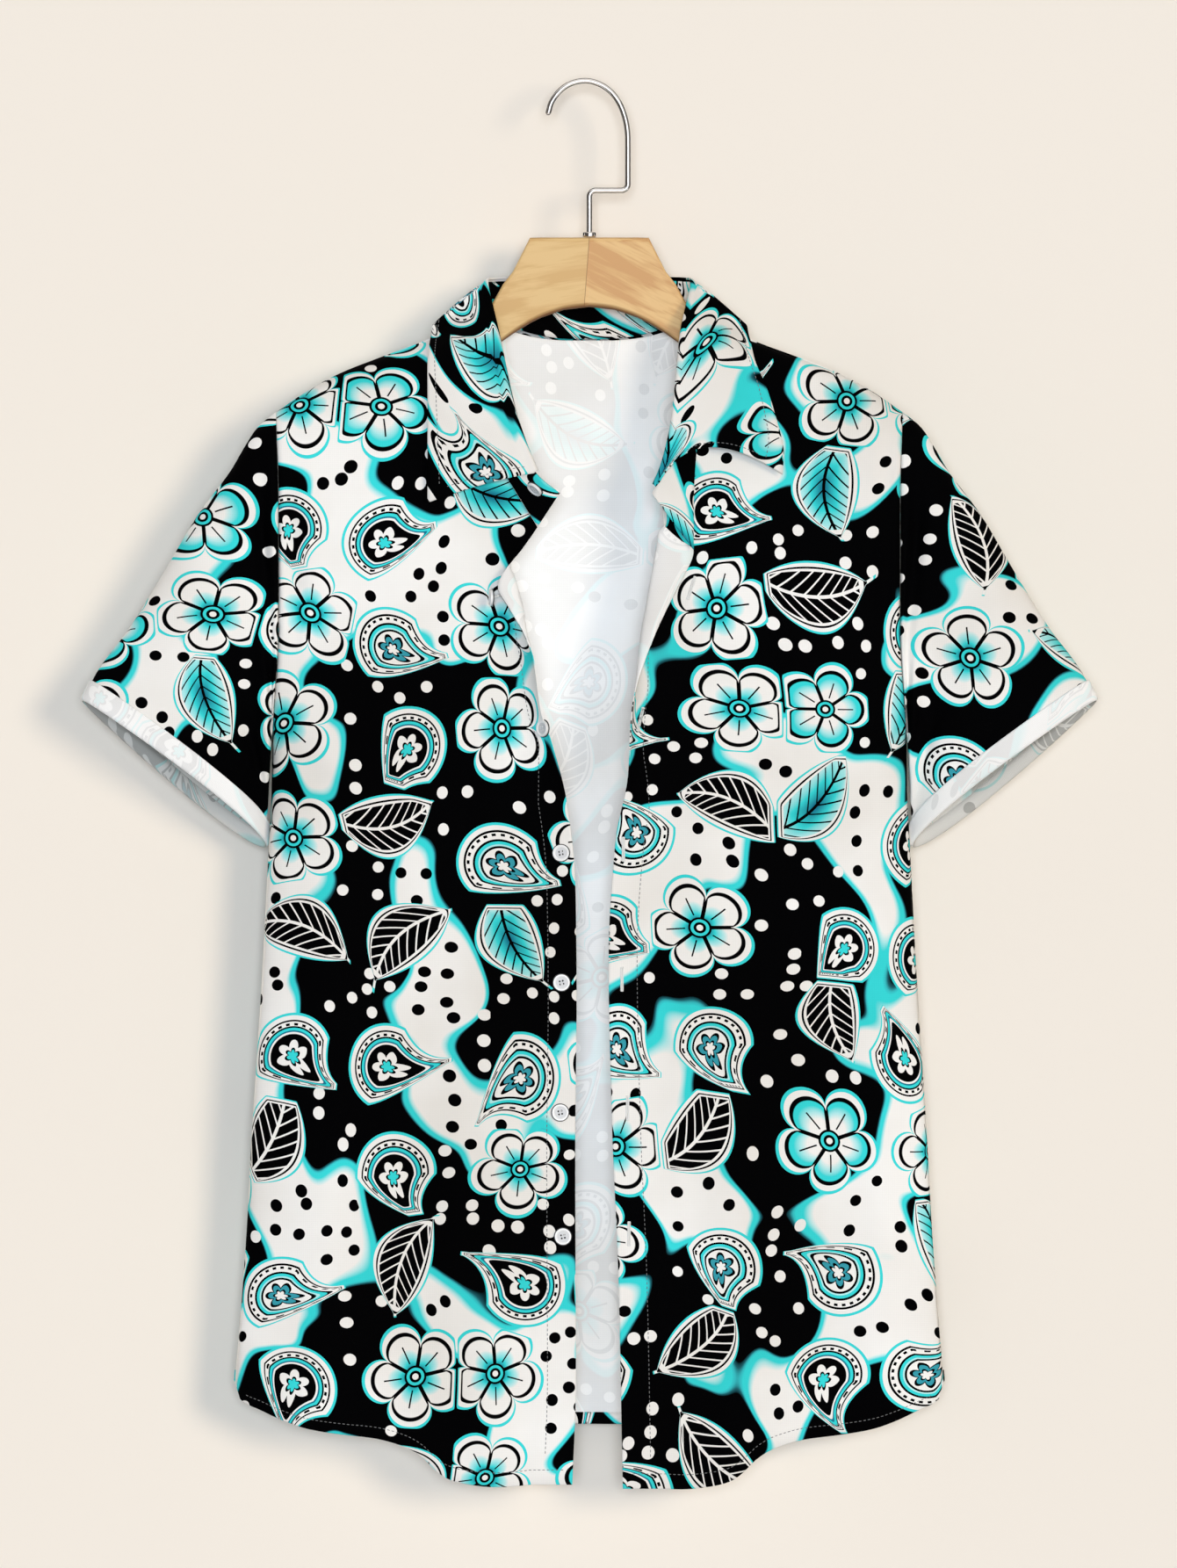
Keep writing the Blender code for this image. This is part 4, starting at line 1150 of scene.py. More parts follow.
@dataclass(frozen=True)
class FrontPanel:
    """One front panel, from its rolled front edge to the armhole and side seam."""

    side: Side
    neck: Table
    edge: FrontEdge
    rows: PanelRows = PanelRows()
    columns: int = 64
    flat: tuple[float, float] = (0.27, 0.88)
    area: float = 0.170

    def grid(self) -> Array:
        """Lays out the panel.

        Returns:
            Its points, from the cut edge outwards and from the shoulder down.
        """
        rows, edge = self.rows, self.edge
        table = edge.table
        neck = spaced(self.neck, rows.neck_rows, rows.crowd)
        top, foot = table[0][0], table[-1][0]
        heights = top + (foot - top) * np.linspace(0, 1, rows.edge_rows + 1)[1:] ** rows.crowd
        inner = [(x, z) for x, z in neck] + [(self.side * edge.read(h)[0], h) for h in heights]
        places, inner = rows.places(), rows.at(np.array(inner))
        ends = rows.at(rows.ends())[:, 0]
        bows = (rows.bow(FORM.ridge, inner[0][0], FORM.ridge[-1][0]),
                rows.bow(FORM.hem_front, inner[-1][0], FORM.side[-1][1]))
        steps = rows.across(self.columns)
        built = []
        for place, (x, z), end_z in zip(places, inner, ends):
            share = place / rows.last
            width = edge.roll_width * (0.15 + 0.85 * min(place / rows.neck_rows, 1))
            below = place > rows.neck_rows - 1 + 1e-6
            if below:
                x = self.side * edge.read(z)[0]
            panel = rows.row(np.array([x + width, z]), end_z, share, bows, self.side, Facing.FRONT, steps)
            if below:
                curl = edge.roll(z, self.side * (x + width), min(place - rows.neck_rows + 1, 1))
                level = np.full(len(curl), z + np.interp(x + width, *bows[1]) * share**4)
                strip = np.column_stack([curl, level])
            else:
                along = np.linspace(0, 1, edge.columns + 1)[:-1]
                rise = panel[0, 2] - z
                strip = FORM.point(self.side * (x + width * along), z + rise * along, Facing.FRONT)
            built.append(np.concatenate([strip, panel]))
        return rows.with_hem(np.array(built), Facing.FRONT)

    def build(self, finishes: Finishes) -> Array:
        """Makes the panel.

        Args:
            finishes: The part's materials.

        Returns:
            Its grid.
        """
        word = self.side.name.lower()
        grid = self.grid()
        flat = FORM.laid_flat(grid)
        rolled = run_lengths(grid, 1, self.edge.columns)[:, :self.edge.columns]
        flat[:, :self.edge.columns, 0] = flat[:, self.edge.columns, None, 0] + self.side * rolled
        way = slice(None, None, self.side)
        sheet = Sheet(f"front_{word}_cloth", (f"front_{word}",), self.flat, self.area, "hung",
                      (f"hanger_{word}",), print_at=(0.0, 0.4 if self.side == Side.LEFT else 1.3))
        sheet.make([grid[:, way]], finishes.face, finishes.inside, [flat[:, way]])
        return grid


@dataclass(frozen=True)
class BackPanel:
    """The back panel, both halves in one cloth."""

    neck: Table = ((0.0770, -0.1599), (0.0665, -0.169), (0.048, -0.1765), (0.025, -0.1805), (0.0, -0.181))
    rows: PanelRows = PanelRows()
    columns: int = 60

    def grid(self, side: Side) -> Array:
        """Lays out one half.

        Args:
            side: Which half.

        Returns:
            Its points, from the middle outwards and from the neck down.
        """
        rows = self.rows
        inner = [tuple(point) for point in spaced(self.neck, rows.neck_rows, rows.crowd)]
        middle = np.linspace(self.neck[-1][1], FORM.hem_back[-1][1], rows.edge_rows + 1)[1:]
        inner = rows.at(np.array(inner + [(0.0, height) for height in middle]))
        inner[:, 0] = np.maximum(inner[:, 0], 0)
        inner[rows.places() >= rows.neck_rows - 1, 0] = 0
        ends = rows.at(rows.ends())[:, 0]
        bows = (rows.bow(FORM.ridge, inner[0][0], FORM.ridge[-1][0]),
                rows.bow(FORM.hem_back, 0.0, FORM.side[-1][1]))
        steps = rows.across(self.columns)
        built = [rows.row(start, end_z, place / rows.last, bows, side, Facing.BACK, steps)
                 for place, start, end_z in zip(rows.places(), inner, ends)]
        return rows.with_hem(np.array(built), Facing.BACK)

    def build(self, finishes: Finishes) -> Array:
        """Makes the back in one piece.

        Args:
            finishes: The part's materials.

        Returns:
            Its grid, from the viewer's right to the left.
        """
        halves = [self.grid(Side.RIGHT)[:, ::-1], self.grid(Side.LEFT)]
        sheet = Sheet("back_cloth", ("back",), (0.57, 0.87), 0.370, "hung", ("hanger_left", "hanger_right"),
                      print_at=(2.0, 2.1))
        sheet.make(halves, finishes.face, finishes.inside, [FORM.laid_flat(half) for half in halves])
        return np.concatenate([halves[0], halves[1][:, 1:]], axis=1)


@dataclass(frozen=True)
class Sleeve:
    """One sleeve tube with its turned-up cuff."""

    side: Side
    top: Table = (
        (0.2213, -0.2325), (0.234, -0.243), (0.244, -0.258), (0.255, -0.2765), (0.277, -0.306), (0.3, -0.345),
        (0.324, -0.384), (0.337, -0.401), (0.348, -0.4166), (0.3575, -0.4355))
    corner: tuple[float, float] = (0.2288, -0.5385)
    half_depth: float = 0.019
    squareness: float = 0.8
    reach: float = 1.3
    lower_back: float = 0.014
    tilt: float = 0.0065
    taper: float = 0.4
    # how far back from the sleeve's end and how far off its face the cuff runs, over it and round inside
    cuff_profile: Table = (
        (0.01, -0.0012), (0.004, -0.0014), (0.0006, -0.0014), (-0.0006, -0.0008), (-0.001, 0.0002),
        (-0.0006, 0.0012), (0.0006, 0.0019), (0.002, 0.0021), (0.005, 0.0021), (0.009, 0.002),
        (0.0125, 0.002), (0.014, 0.0019), (0.0145, 0.0015), (0.0145, 0.001))
    cuff_thick: float = 0.0006
    inside_rows: int = 4
    around: int = 128
    along: int = 56
    groove_end: float = 0.03  # share of the length over which the armhole's seam lies in
    hollow_end: float = 0.25  # the same on the underside
    turn: float = 6.0  # radians round the sleeve that count as one length of it in a crease
    # share of the length and angle from the top at each end, half width and rise
    creases: Table = (
        (0.02, 1.2, 0.75, 2.5, 0.08, -0.0065), (0.05, 2.6, 0.9, 1.9, 0.1, 0.005),
        (0.05, 0.5, 0.55, 1.3, 0.08, -0.0045), (0.1, 1.0, 0.95, 1.1, 0.11, 0.0035),
        (0.4, 2.7, 1.0, 2.5, 0.08, -0.0045), (0.02, 4.9, 0.8, 3.7, 0.11, -0.004),
        (0.1, 3.8, 0.9, 4.4, 0.12, 0.0035), (0.2, 5.6, 0.95, 5.2, 0.12, -0.0025),
        (0.07, 1.75, 0.16, 2.75, 0.06, -0.009), (0.2, 1.7, 0.34, 2.6, 0.06, 0.003),
        (0.06, 0.75, 0.12, 1.45, 0.045, -0.006), (0.4, 1.9, 0.66, 2.45, 0.05, -0.0045))

    def surface(self, along: Array, angle: Array) -> Array:
        """Points of the sleeve's outer face.

        Args:
            along: 0 at the armhole to 1 at the cuff.
            angle: Round from the sleeve's top, to the front first.

        Returns:
            The points, with x, y and z last.
        """
        along, angle = np.broadcast_arrays(along, angle)
        facing = np.where(np.sin(angle) >= 0, -1, 1)
        high = (1 + np.cos(angle)) / 2
        arm_z = FORM.underarm + (FORM.shoulder - FORM.underarm) * high
        arm_x = look_up(FORM.armhole, arm_z) + SEAM
        on_front = FORM.point(arm_x - SEAM, arm_z, Facing.FRONT)[..., 1]
        on_back = FORM.point(arm_x - SEAM, arm_z, Facing.BACK)[..., 1]
        arm_y = np.where(facing < 0, on_front, on_back)
        at_fold = np.abs(np.sin(angle)) < 1e-6
        arm_y = np.where(at_fold, FORM.forward(arm_x, arm_z), arm_y)
        top, corner = np.array(self.top[-1]), np.array(self.corner)
        line = (top - corner) / np.linalg.norm(top - corner)
        cuff = corner + (top - corner) * high[..., None]
        lean = self.tilt * np.sin(angle) * (1 - self.taper * np.cos(angle))
        cuff = cuff - np.array([line[1], -line[0]]) * lean[..., None]
        half = self.half_depth * np.abs(np.sin(angle)) ** self.squareness
        cuff_y = FORM.forward(arm_x, arm_z) + facing * half
        run = spaced(self.top, 81)
        keys = np.linspace(0, 1, len(run))
        edge = np.stack([np.interp(along, keys, axis) for axis in run.T], axis=-1)
        share = along[..., None]
        straight = (1 - share) * np.array(self.top[0]) + share * top
        arm = np.stack([arm_x, arm_z], axis=-1)
        spot = (1 - share) * arm + share * cuff + (edge - straight) * (high**self.reach)[..., None]
        y = arm_y + (cuff_y - arm_y) * ease(along) + self.lower_back * (1 - high) ** 2 * along
        hollow = 1 - ease(along / self.groove_end) + 0.8 * (1 - ease(along / self.hollow_end)) * (1 - high)
        y = y - facing * PanelRows().groove(arm_z) * hollow
        fade = np.abs(np.sin(angle)) ** 0.5 * ease(along / 0.08)
        creases = tuple((a, b / self.turn, c, d / self.turn, e, f) for a, b, c, d, e, f in self.creases)
        y = y + facing * fade * crease_sum(creases, along, angle / self.turn)
        return np.stack([self.side * spot[..., 0], y, spot[..., 1]], axis=-1)

    def grid(self) -> Array:
        """Lays out the tube.

        Returns:
            Rings from the armhole out to the cuff.
        """
        angle = 2 * pi * np.arange(self.around) / self.around
        share = np.linspace(0, 1, self.along) ** 1.1
        return self.surface(share[:, None], angle[None, :])

    def laid_flat(self, tube: Array) -> Array:
        """Places of the tube's points on the flat cloth: the front as it is seen, the back folded out.

        Args:
            tube: The sleeve's rings.

        Returns:
            u and v of each point, with each ring's first again at its end.
        """
        rings = closed(tube)
        lengths = run_lengths(rings, 1, 0)
        half = self.around // 2
        top, low = rings[:, 0][:, ::2], rings[:, half][:, ::2]
        down = (low - top) / np.linalg.norm(low - top, axis=1, keepdims=True)
        fold = top[-1] - top[0]
        fold = fold / np.linalg.norm(fold)
        outwards = 2 * (down @ fold)[:, None] * fold - down
        back = (lengths[:, -1:] - lengths)[:, half + 1:]
        flat = top[:, None] + down[:, None] * lengths[..., None]
        flat[:, half + 1:] = top[:, None] + outwards[:, None] * back[..., None]
        return flat

    def cuff(self) -> Array:
        """Lays out the cuff.

        Returns:
            Rings down over the sleeve, round its end and up inside it.
        """
        angle = 2 * pi * np.arange(self.around) / self.around
        fine = self.surface(np.linspace(0.6, 1, 61)[:, None], angle[None, :])
        normal = grid_normals(fine, ring=True) * (-1 if self.side == Side.RIGHT else 1)
        length = np.cumsum(np.linalg.norm(np.diff(fine, axis=0), axis=2), axis=0)
        length = np.concatenate([np.zeros((1, self.around)), length])
        rings = []
        for back, out in self.cuff_profile:
            ring = np.empty((self.around, 3))
            for j in range(self.around):
                spot = length[-1, j] - max(back, 0)
                point = np.array([np.interp(spot, length[:, j], fine[:, j, axis]) for axis in range(3)])
                ahead = fine[-1, j] - fine[-2, j]
                ahead = ahead / np.linalg.norm(ahead)
                side = np.array([np.interp(spot, length[:, j], normal[:, j, axis]) for axis in range(3)])
                ring[j] = point + ahead * max(-back, 0) + side / np.linalg.norm(side) * out
            rings.append(ring)
        return np.array(rings[::-1])

    def build(self, finishes: Finishes) -> None:
        """Makes the tube and its cuff.

        Args:
            finishes: The part's materials.
        """
        word = self.side.name.lower()
        tube, cuff = self.grid(), self.cuff()
        flip = slice(None, None, -self.side)
        Sheet(f"sleeve_{word}_cloth", (f"sleeve_{word}",), (0.50, 0.25), 0.052, "hung", (f"hanger_{word}",),
              print_at=(3.1, 3.0 + 0.7 * self.side)).make(
                  [tube[:, flip]], finishes.face, finishes.shaded_sleeve_inside, [self.laid_flat(tube)[:, flip]], ring=True)
        band = Sheet(f"cuff_{word}_cloth", (f"cuff_{word}",), (0.37, 0.029), 0.0099, "folded",
                     (f"sleeve_{word}_cloth",), thick=self.cuff_thick, print_at=(4.4, 0.9 * self.side)).make(
                         [cuff[:, flip]], finishes.reverse, finishes.shaded_sleeve_inside, ring=True)
        # the cuff's inner rows take the sleeve's inside, greyed as painted shade
        for face in band.data.polygons[-self.inside_rows * self.around:]:
            face.material_index = 1


@dataclass(frozen=True)
class Collar:
    """The stand and the fall that turns down over it.

    Each station has the stand's seam, the roll line, and the fall's middle and outer edge, each
    as x outwards, lift off the panel and height. The first station of a side is the stand's end.
    """

    left: tuple = (
        ((0.0366, 0.0045, -0.3137), (0.021, 0.012, -0.2905), None, None),
        ((0.052, 0.003, -0.289), (0.038, 0.012, -0.276), (0.074, 0.013, -0.284), (0.114, 0.007, -0.297)),
        ((0.065, 0.003, -0.267), (0.0465, 0.012, -0.256), (0.078, 0.013, -0.26), (0.114, 0.007, -0.272)),
        ((0.0735, 0.003, -0.244), (0.0535, 0.0115, -0.235), (0.082, 0.0125, -0.239), (0.114, 0.007, -0.248)),
        ((0.078, 0.003, -0.215), (0.059, 0.0095, -0.212), (0.086, 0.0115, -0.215), (0.114, 0.007, -0.222)),
        ((0.0765, 0.003, -0.182), (0.0655, 0.0075, -0.18), (0.09, 0.011, -0.186), (0.114, 0.0095, -0.196)),
        ((0.0765, 0.002, -0.1665), (0.07, 0.006, -0.16), (0.09, 0.008, -0.166), (0.112, 0.007, -0.179)))
    right: tuple = (
        ((0.0735, 0.016, -0.33), (0.044, 0.015, -0.2905), None, None),
        ((0.0735, 0.013, -0.316), (0.0462, 0.015, -0.286), (0.082, 0.019, -0.258), (0.136, 0.008, -0.277)),
        ((0.074, 0.008, -0.282), (0.053, 0.014, -0.27), (0.09, 0.016, -0.246), (0.1368, 0.008, -0.259)),
        ((0.0765, 0.004, -0.25), (0.0595, 0.012, -0.243), (0.094, 0.014, -0.231), (0.132, 0.008, -0.2385)),
        ((0.0785, 0.003, -0.218), (0.063, 0.01, -0.212), (0.095, 0.012, -0.21), (0.125, 0.0075, -0.216)),
        ((0.0765, 0.003, -0.182), (0.0662, 0.0075, -0.18), (0.093, 0.011, -0.185), (0.117, 0.0095, -0.197)),
        ((0.0765, 0.002, -0.1665), (0.07, 0.006, -0.16), (0.0905, 0.008, -0.166), (0.113, 0.007, -0.179)))
    back: tuple = (
        ((0.0748, 0.0005, -0.155), (0.0725, 0.001, -0.1425), (0.0885, 0.003, -0.1505),
         (0.1085, 0.003, -0.169)),
        ((0.066, 0.004, -0.165), (0.0665, 0.017, -0.1395), (0.077, 0.018, -0.154), (0.09, 0.012, -0.177)),
        ((0.048, 0.0028, -0.174), (0.048, 0.025, -0.139), (0.052, 0.018, -0.159), (0.057, 0.012, -0.185)),
        ((0.025, 0.0028, -0.179), (0.025, 0.03, -0.139), (0.027, 0.018, -0.161), (0.029, 0.013, -0.187)),
        ((0.0, 0.0028, -0.18), (0.0, 0.031, -0.139), (0.0, 0.018, -0.162), (0.0, 0.013, -0.1875)))
    thick: float = 0.0013
    over_stand: float = 0.0028
    clear: float = 0.0030
    steps: int = 12

    def lines(self, first: int) -> list[Array]:
        """Smooth lines round the neck, from the right front end to the left one.

        Args:
            first: The first station used: 0 for the stand, which has two lines, and 1 for the fall.

        Returns:
            The seam, the roll line, and for the fall its middle and outer edge.
        """
        halves = []
        for side, rows in ((Side.RIGHT, self.right), (Side.LEFT, self.left)):
            half = []
            for facing, table in ((Facing.FRONT, rows[first:]), (Facing.BACK, self.back)):
                for row in table:
                    used = row if first else row[:2]
                    half.append([FORM.point(side * x, z, facing, lift) for x, lift, z in used])
            halves.append(half)
        stations = halves[0] + halves[1][::-1][1:]
        return [smooth_run(np.array(line), self.steps) for line in zip(*stations)]

    def stand_grid(self) -> Array:
        """Lays out the stand.

        Returns:
            Its points, from its top down to the neck seam.
        """
        seam, roll = self.lines(0)
        share = np.linspace(1, 0, 12)[:, None, None]
        return seam + (roll - seam) * share

    def fall_grid(self) -> Array:
        """Lays out the fall.

        Returns:
            Its points, from just over the stand's top down to its outer edge.
        """
        seam, roll, middle, outer = self.lines(1)
        up = roll - seam
        up = up / np.linalg.norm(up, axis=1, keepdims=True)
        out = np.cross(np.gradient(roll, axis=0), up)
        out = out / np.linalg.norm(out, axis=1, keepdims=True)
        rows = [roll + self.over_stand * up - self.thick / 2 * out]
        for turn in (90, 72, 54, 36, 18):
            rows.append(roll + self.over_stand * (up * sin(radians(turn)) + out * cos(radians(turn))))
        start = roll + self.over_stand * out
        for share in np.linspace(0, 1, 30):
            bent = (1 - share) * (1 - 2 * share) * start + 4 * share * (1 - share) * middle
            rows.append(bent + share * (2 * share - 1) * outer)
        grid = np.array(rows)
        low = grid[9:]
        for facing in Facing:
            floor = FORM.point(low[..., 0], low[..., 2], facing, self.clear)[..., 1]
            there = facing * (low[..., 1] - FORM.forward(low[..., 0], low[..., 2])) > 0
            raised = facing * np.maximum(facing * low[..., 1], facing * floor)
            low[..., 1] = np.where(there, raised, low[..., 1])
        return grid

    def build(self, finishes: Finishes) -> Array:
        """Makes both pieces.

        Args:
            finishes: The part's materials.

        Returns:
            The fall's grid.
        """
        stand, fall = self.stand_grid(), self.fall_grid()
        panels = ("front_left_cloth", "front_right_cloth", "back_cloth")
        for part, grid, flat, area, spot in (("stand", stand, (0.56, 0.050), 0.0130, (5.2, 0.3)),
                                             ("fall", fall, (0.53, 0.110), 0.0290, (6.0, 0.8))):
            sheet = Sheet(f"collar_{part}_cloth", (f"collar_{part}",), flat, area, "folded", panels,
                          self.thick, spot)
            sheet.make([grid], finishes.face, finishes.face)
        return fall


# ---- thread


class Threads:
    """Short runs of thread laid over the cloth, gathered into one mesh a piece."""

    stitch = ((0, 1, 6), (0, 6, 2), (1, 3, 7, 6), (2, 6, 7, 4), (3, 5, 7), (5, 4, 7), (0, 8, 1), (0, 2, 8),
              (1, 8, 3), (2, 4, 8), (3, 8, 5), (4, 5, 8))

    def __init__(self, name: str, finish: Material) -> None:
        """Starts a piece.

        Args:
            name: The piece's name.
            finish: Its material.
        """
        self.name, self.finish = name, finish
        self.points: list[Array] = []
        self.faces: list[tuple[int, ...]] = []

    def lay(self, start: Array, end: Array, normal: Array, width: float, rise: float) -> None:
        """Lays one stitch: a low hump between two points of the cloth.

        Args:
            start: Where it comes out of the cloth.
            end: Where it goes in.
            normal: The way out of the cloth.
            width: The thread's width.
            rise: How high it lies.
        """
        run = end - start
        length = np.linalg.norm(run)
        if length < 1e-6:
            return
        across = np.cross(run / length, normal) * width / 2
        mid = (start + end) / 2 + normal * rise
        quarter = run * 0.28
        base = len(self.points)
        self.points += [start - 0.2 * rise * normal, mid - quarter + across, mid - quarter - across,
                        mid + quarter + across, mid + quarter - across, end - 0.2 * rise * normal,
                        mid - quarter + 0.6 * rise * normal, mid + quarter + 0.6 * rise * normal,
                        mid - 1.2 * rise * normal]
        self.faces += [tuple(base + k for k in face) for face in self.stitch]

    def seam(self, line: Array, normals: Array, pitch: float = 0.0032) -> None:
        """Stitches along a line on the cloth, with gaps between the stitches.

        Args:
            line: Points along it.
            normals: The way out of the cloth at each.
            pitch: From one stitch to the next.
        """
        length = np.append(0, np.cumsum(np.linalg.norm(np.diff(line, axis=0), axis=1)))
        for start in np.arange(0, length[-1] - pitch, pitch):
            ends = [np.array([np.interp(place, length, axis) for axis in line.T])
                    for place in (start, start + 0.72 * pitch)]
            normal = np.array([np.interp(start + 0.36 * pitch, length, axis) for axis in normals.T])
            self.lay(*ends, normal / np.linalg.norm(normal), 0.0005, 0.0003)

    def finish_piece(self, slot: str) -> None:
        """Makes the gathered thread into a piece that rides on the shirt.

        Args:
            slot: The record's slot for its finish.
        """
        mesh = bpy.data.meshes.new(self.name)
        mesh.from_pydata([tuple(p) for p in self.points], [], self.faces)
        build = bmesh.new()
        build.from_mesh(mesh)
        bmesh.ops.recalc_face_normals(build, faces=build.faces)
        build.to_mesh(mesh)
        build.free()
        mesh.shade_smooth()
        mesh.materials.append(self.finish)
        add_piece(self.name, mesh, slot)
        log.info("%s: %d faces", self.name, len(self.faces))


@dataclass(frozen=True)
class Buttonholes:
    """Worked buttonholes down the right front: x, height and lean in degrees."""

    places: Table = (
        (0.072, -0.357, -18.0), (0.036, -0.4495, -14.0), (0.024, -0.541, 0.0), (0.023, -0.6326, 0.0),
        (0.027, -0.7235, 0.0), (0.028, -0.812, 0.0))
    length: float = 0.0165
    width: float = 0.0026
    pitch: float = 0.0007
    overlap: float = 0.00015  # of the two rows of stitches at the slit

    def build(self, cloth: Array, finishes: Finishes) -> None:
        """Works them into the cloth.

        Args:
            cloth: The right front's grid.
            finishes: The part's materials.
        """
        threads = Threads("buttonholes", finishes.thread)
        flat = cloth.reshape(-1, 3)
        front = np.array([0, -1.0, 0])
        for x, z, lean in self.places:
            up = np.array([sin(radians(-lean)), 0, cos(radians(lean))])
            across = np.array([up[2], 0, -up[0]])
            for side in (-1, 1):
                for step in np.arange(-self.length / 2, self.length / 2, self.pitch):
                    inner = np.array([x, 0, z]) + up * step - across * side * self.overlap
                    outer = inner + across * side * (self.width / 2 + self.overlap)
                    for spot in (inner, outer):
                        spot[1] = self.face_y(flat, spot)
                    threads.lay(inner, outer, front, self.pitch * 1.1, 0.0004)
            for end in (-1, 1):
                middle = np.array([x, 0, z]) + up * end * self.length / 2
                middle[1] = self.face_y(flat, middle)
                half = across * self.width / 2
                threads.lay(middle - half, middle + half, front, 0.0010, 0.0006)
        threads.finish_piece("cloth_reverse")

    def face_y(self, flat: Array, spot: Array) -> float:
        """y of the cloth's front face at a spot, from the cloth's points near it."""
        near = np.hypot(flat[:, 0] - spot[0], flat[:, 2] - spot[2])
        return flat[np.argsort(near)[:6], 1].min()


@dataclass(frozen=True)
class Seams:
    """Rows of topstitching on the panels and collar."""

    hem_height: float = 0.0075
    placket_column: int = 12
    placket_row: int = 60

    def build(self, panels: dict[Side, Array], back: Array, fall: Array, finishes: Finishes) -> None:
        """Sews hems, front edges and the collar's edge.

        Args:
            panels: The fronts' grids by side.
            back: The back's grid.
            fall: The collar fall's grid.
            finishes: The part's materials.
        """
        for side, grid in panels.items():
            threads = Threads(f"stitching_front_{side.name.lower()}", finishes.dark_thread)
            normals, hem = grid_normals(grid) * side, self.hem_row(grid)
            threads.seam(grid[hem, 4:-3], normals[hem, 4:-3])
            down = slice(self.placket_row, hem)
            threads.seam(grid[down, self.placket_column], normals[down, self.placket_column])
            threads.finish_piece("printed_cloth")
        threads = Threads("stitching_back", finishes.dark_thread)
        hem = self.hem_row(back)
        threads.seam(back[hem, 3:-3], grid_normals(back)[hem, 3:-3])
        threads.finish_piece("printed_cloth")
        threads = Threads("stitching_collar", finishes.dark_thread)
        normals = grid_normals(fall)
        for line in ((-4, slice(3, -3)), (slice(8, -4), 3), (slice(8, -4), -4)):
            threads.seam(fall[line], normals[line])
        threads.finish_piece("printed_cloth")

    def hem_row(self, grid: Array) -> int:
        """Finds the row that the hem's stitches run along.

        Args:
            grid: A panel's points, with the hem's fold in the last rows.

        Returns:
            The row's number.
        """
        foot, column = len(grid) - 1 - len(PanelRows().hem_fold), grid.shape[1] // 2
        rise = grid[:foot + 1, column, 2] - grid[foot, column, 2]
        return int(np.argmin(np.abs(rise - self.hem_height)))


# ---- hard pieces


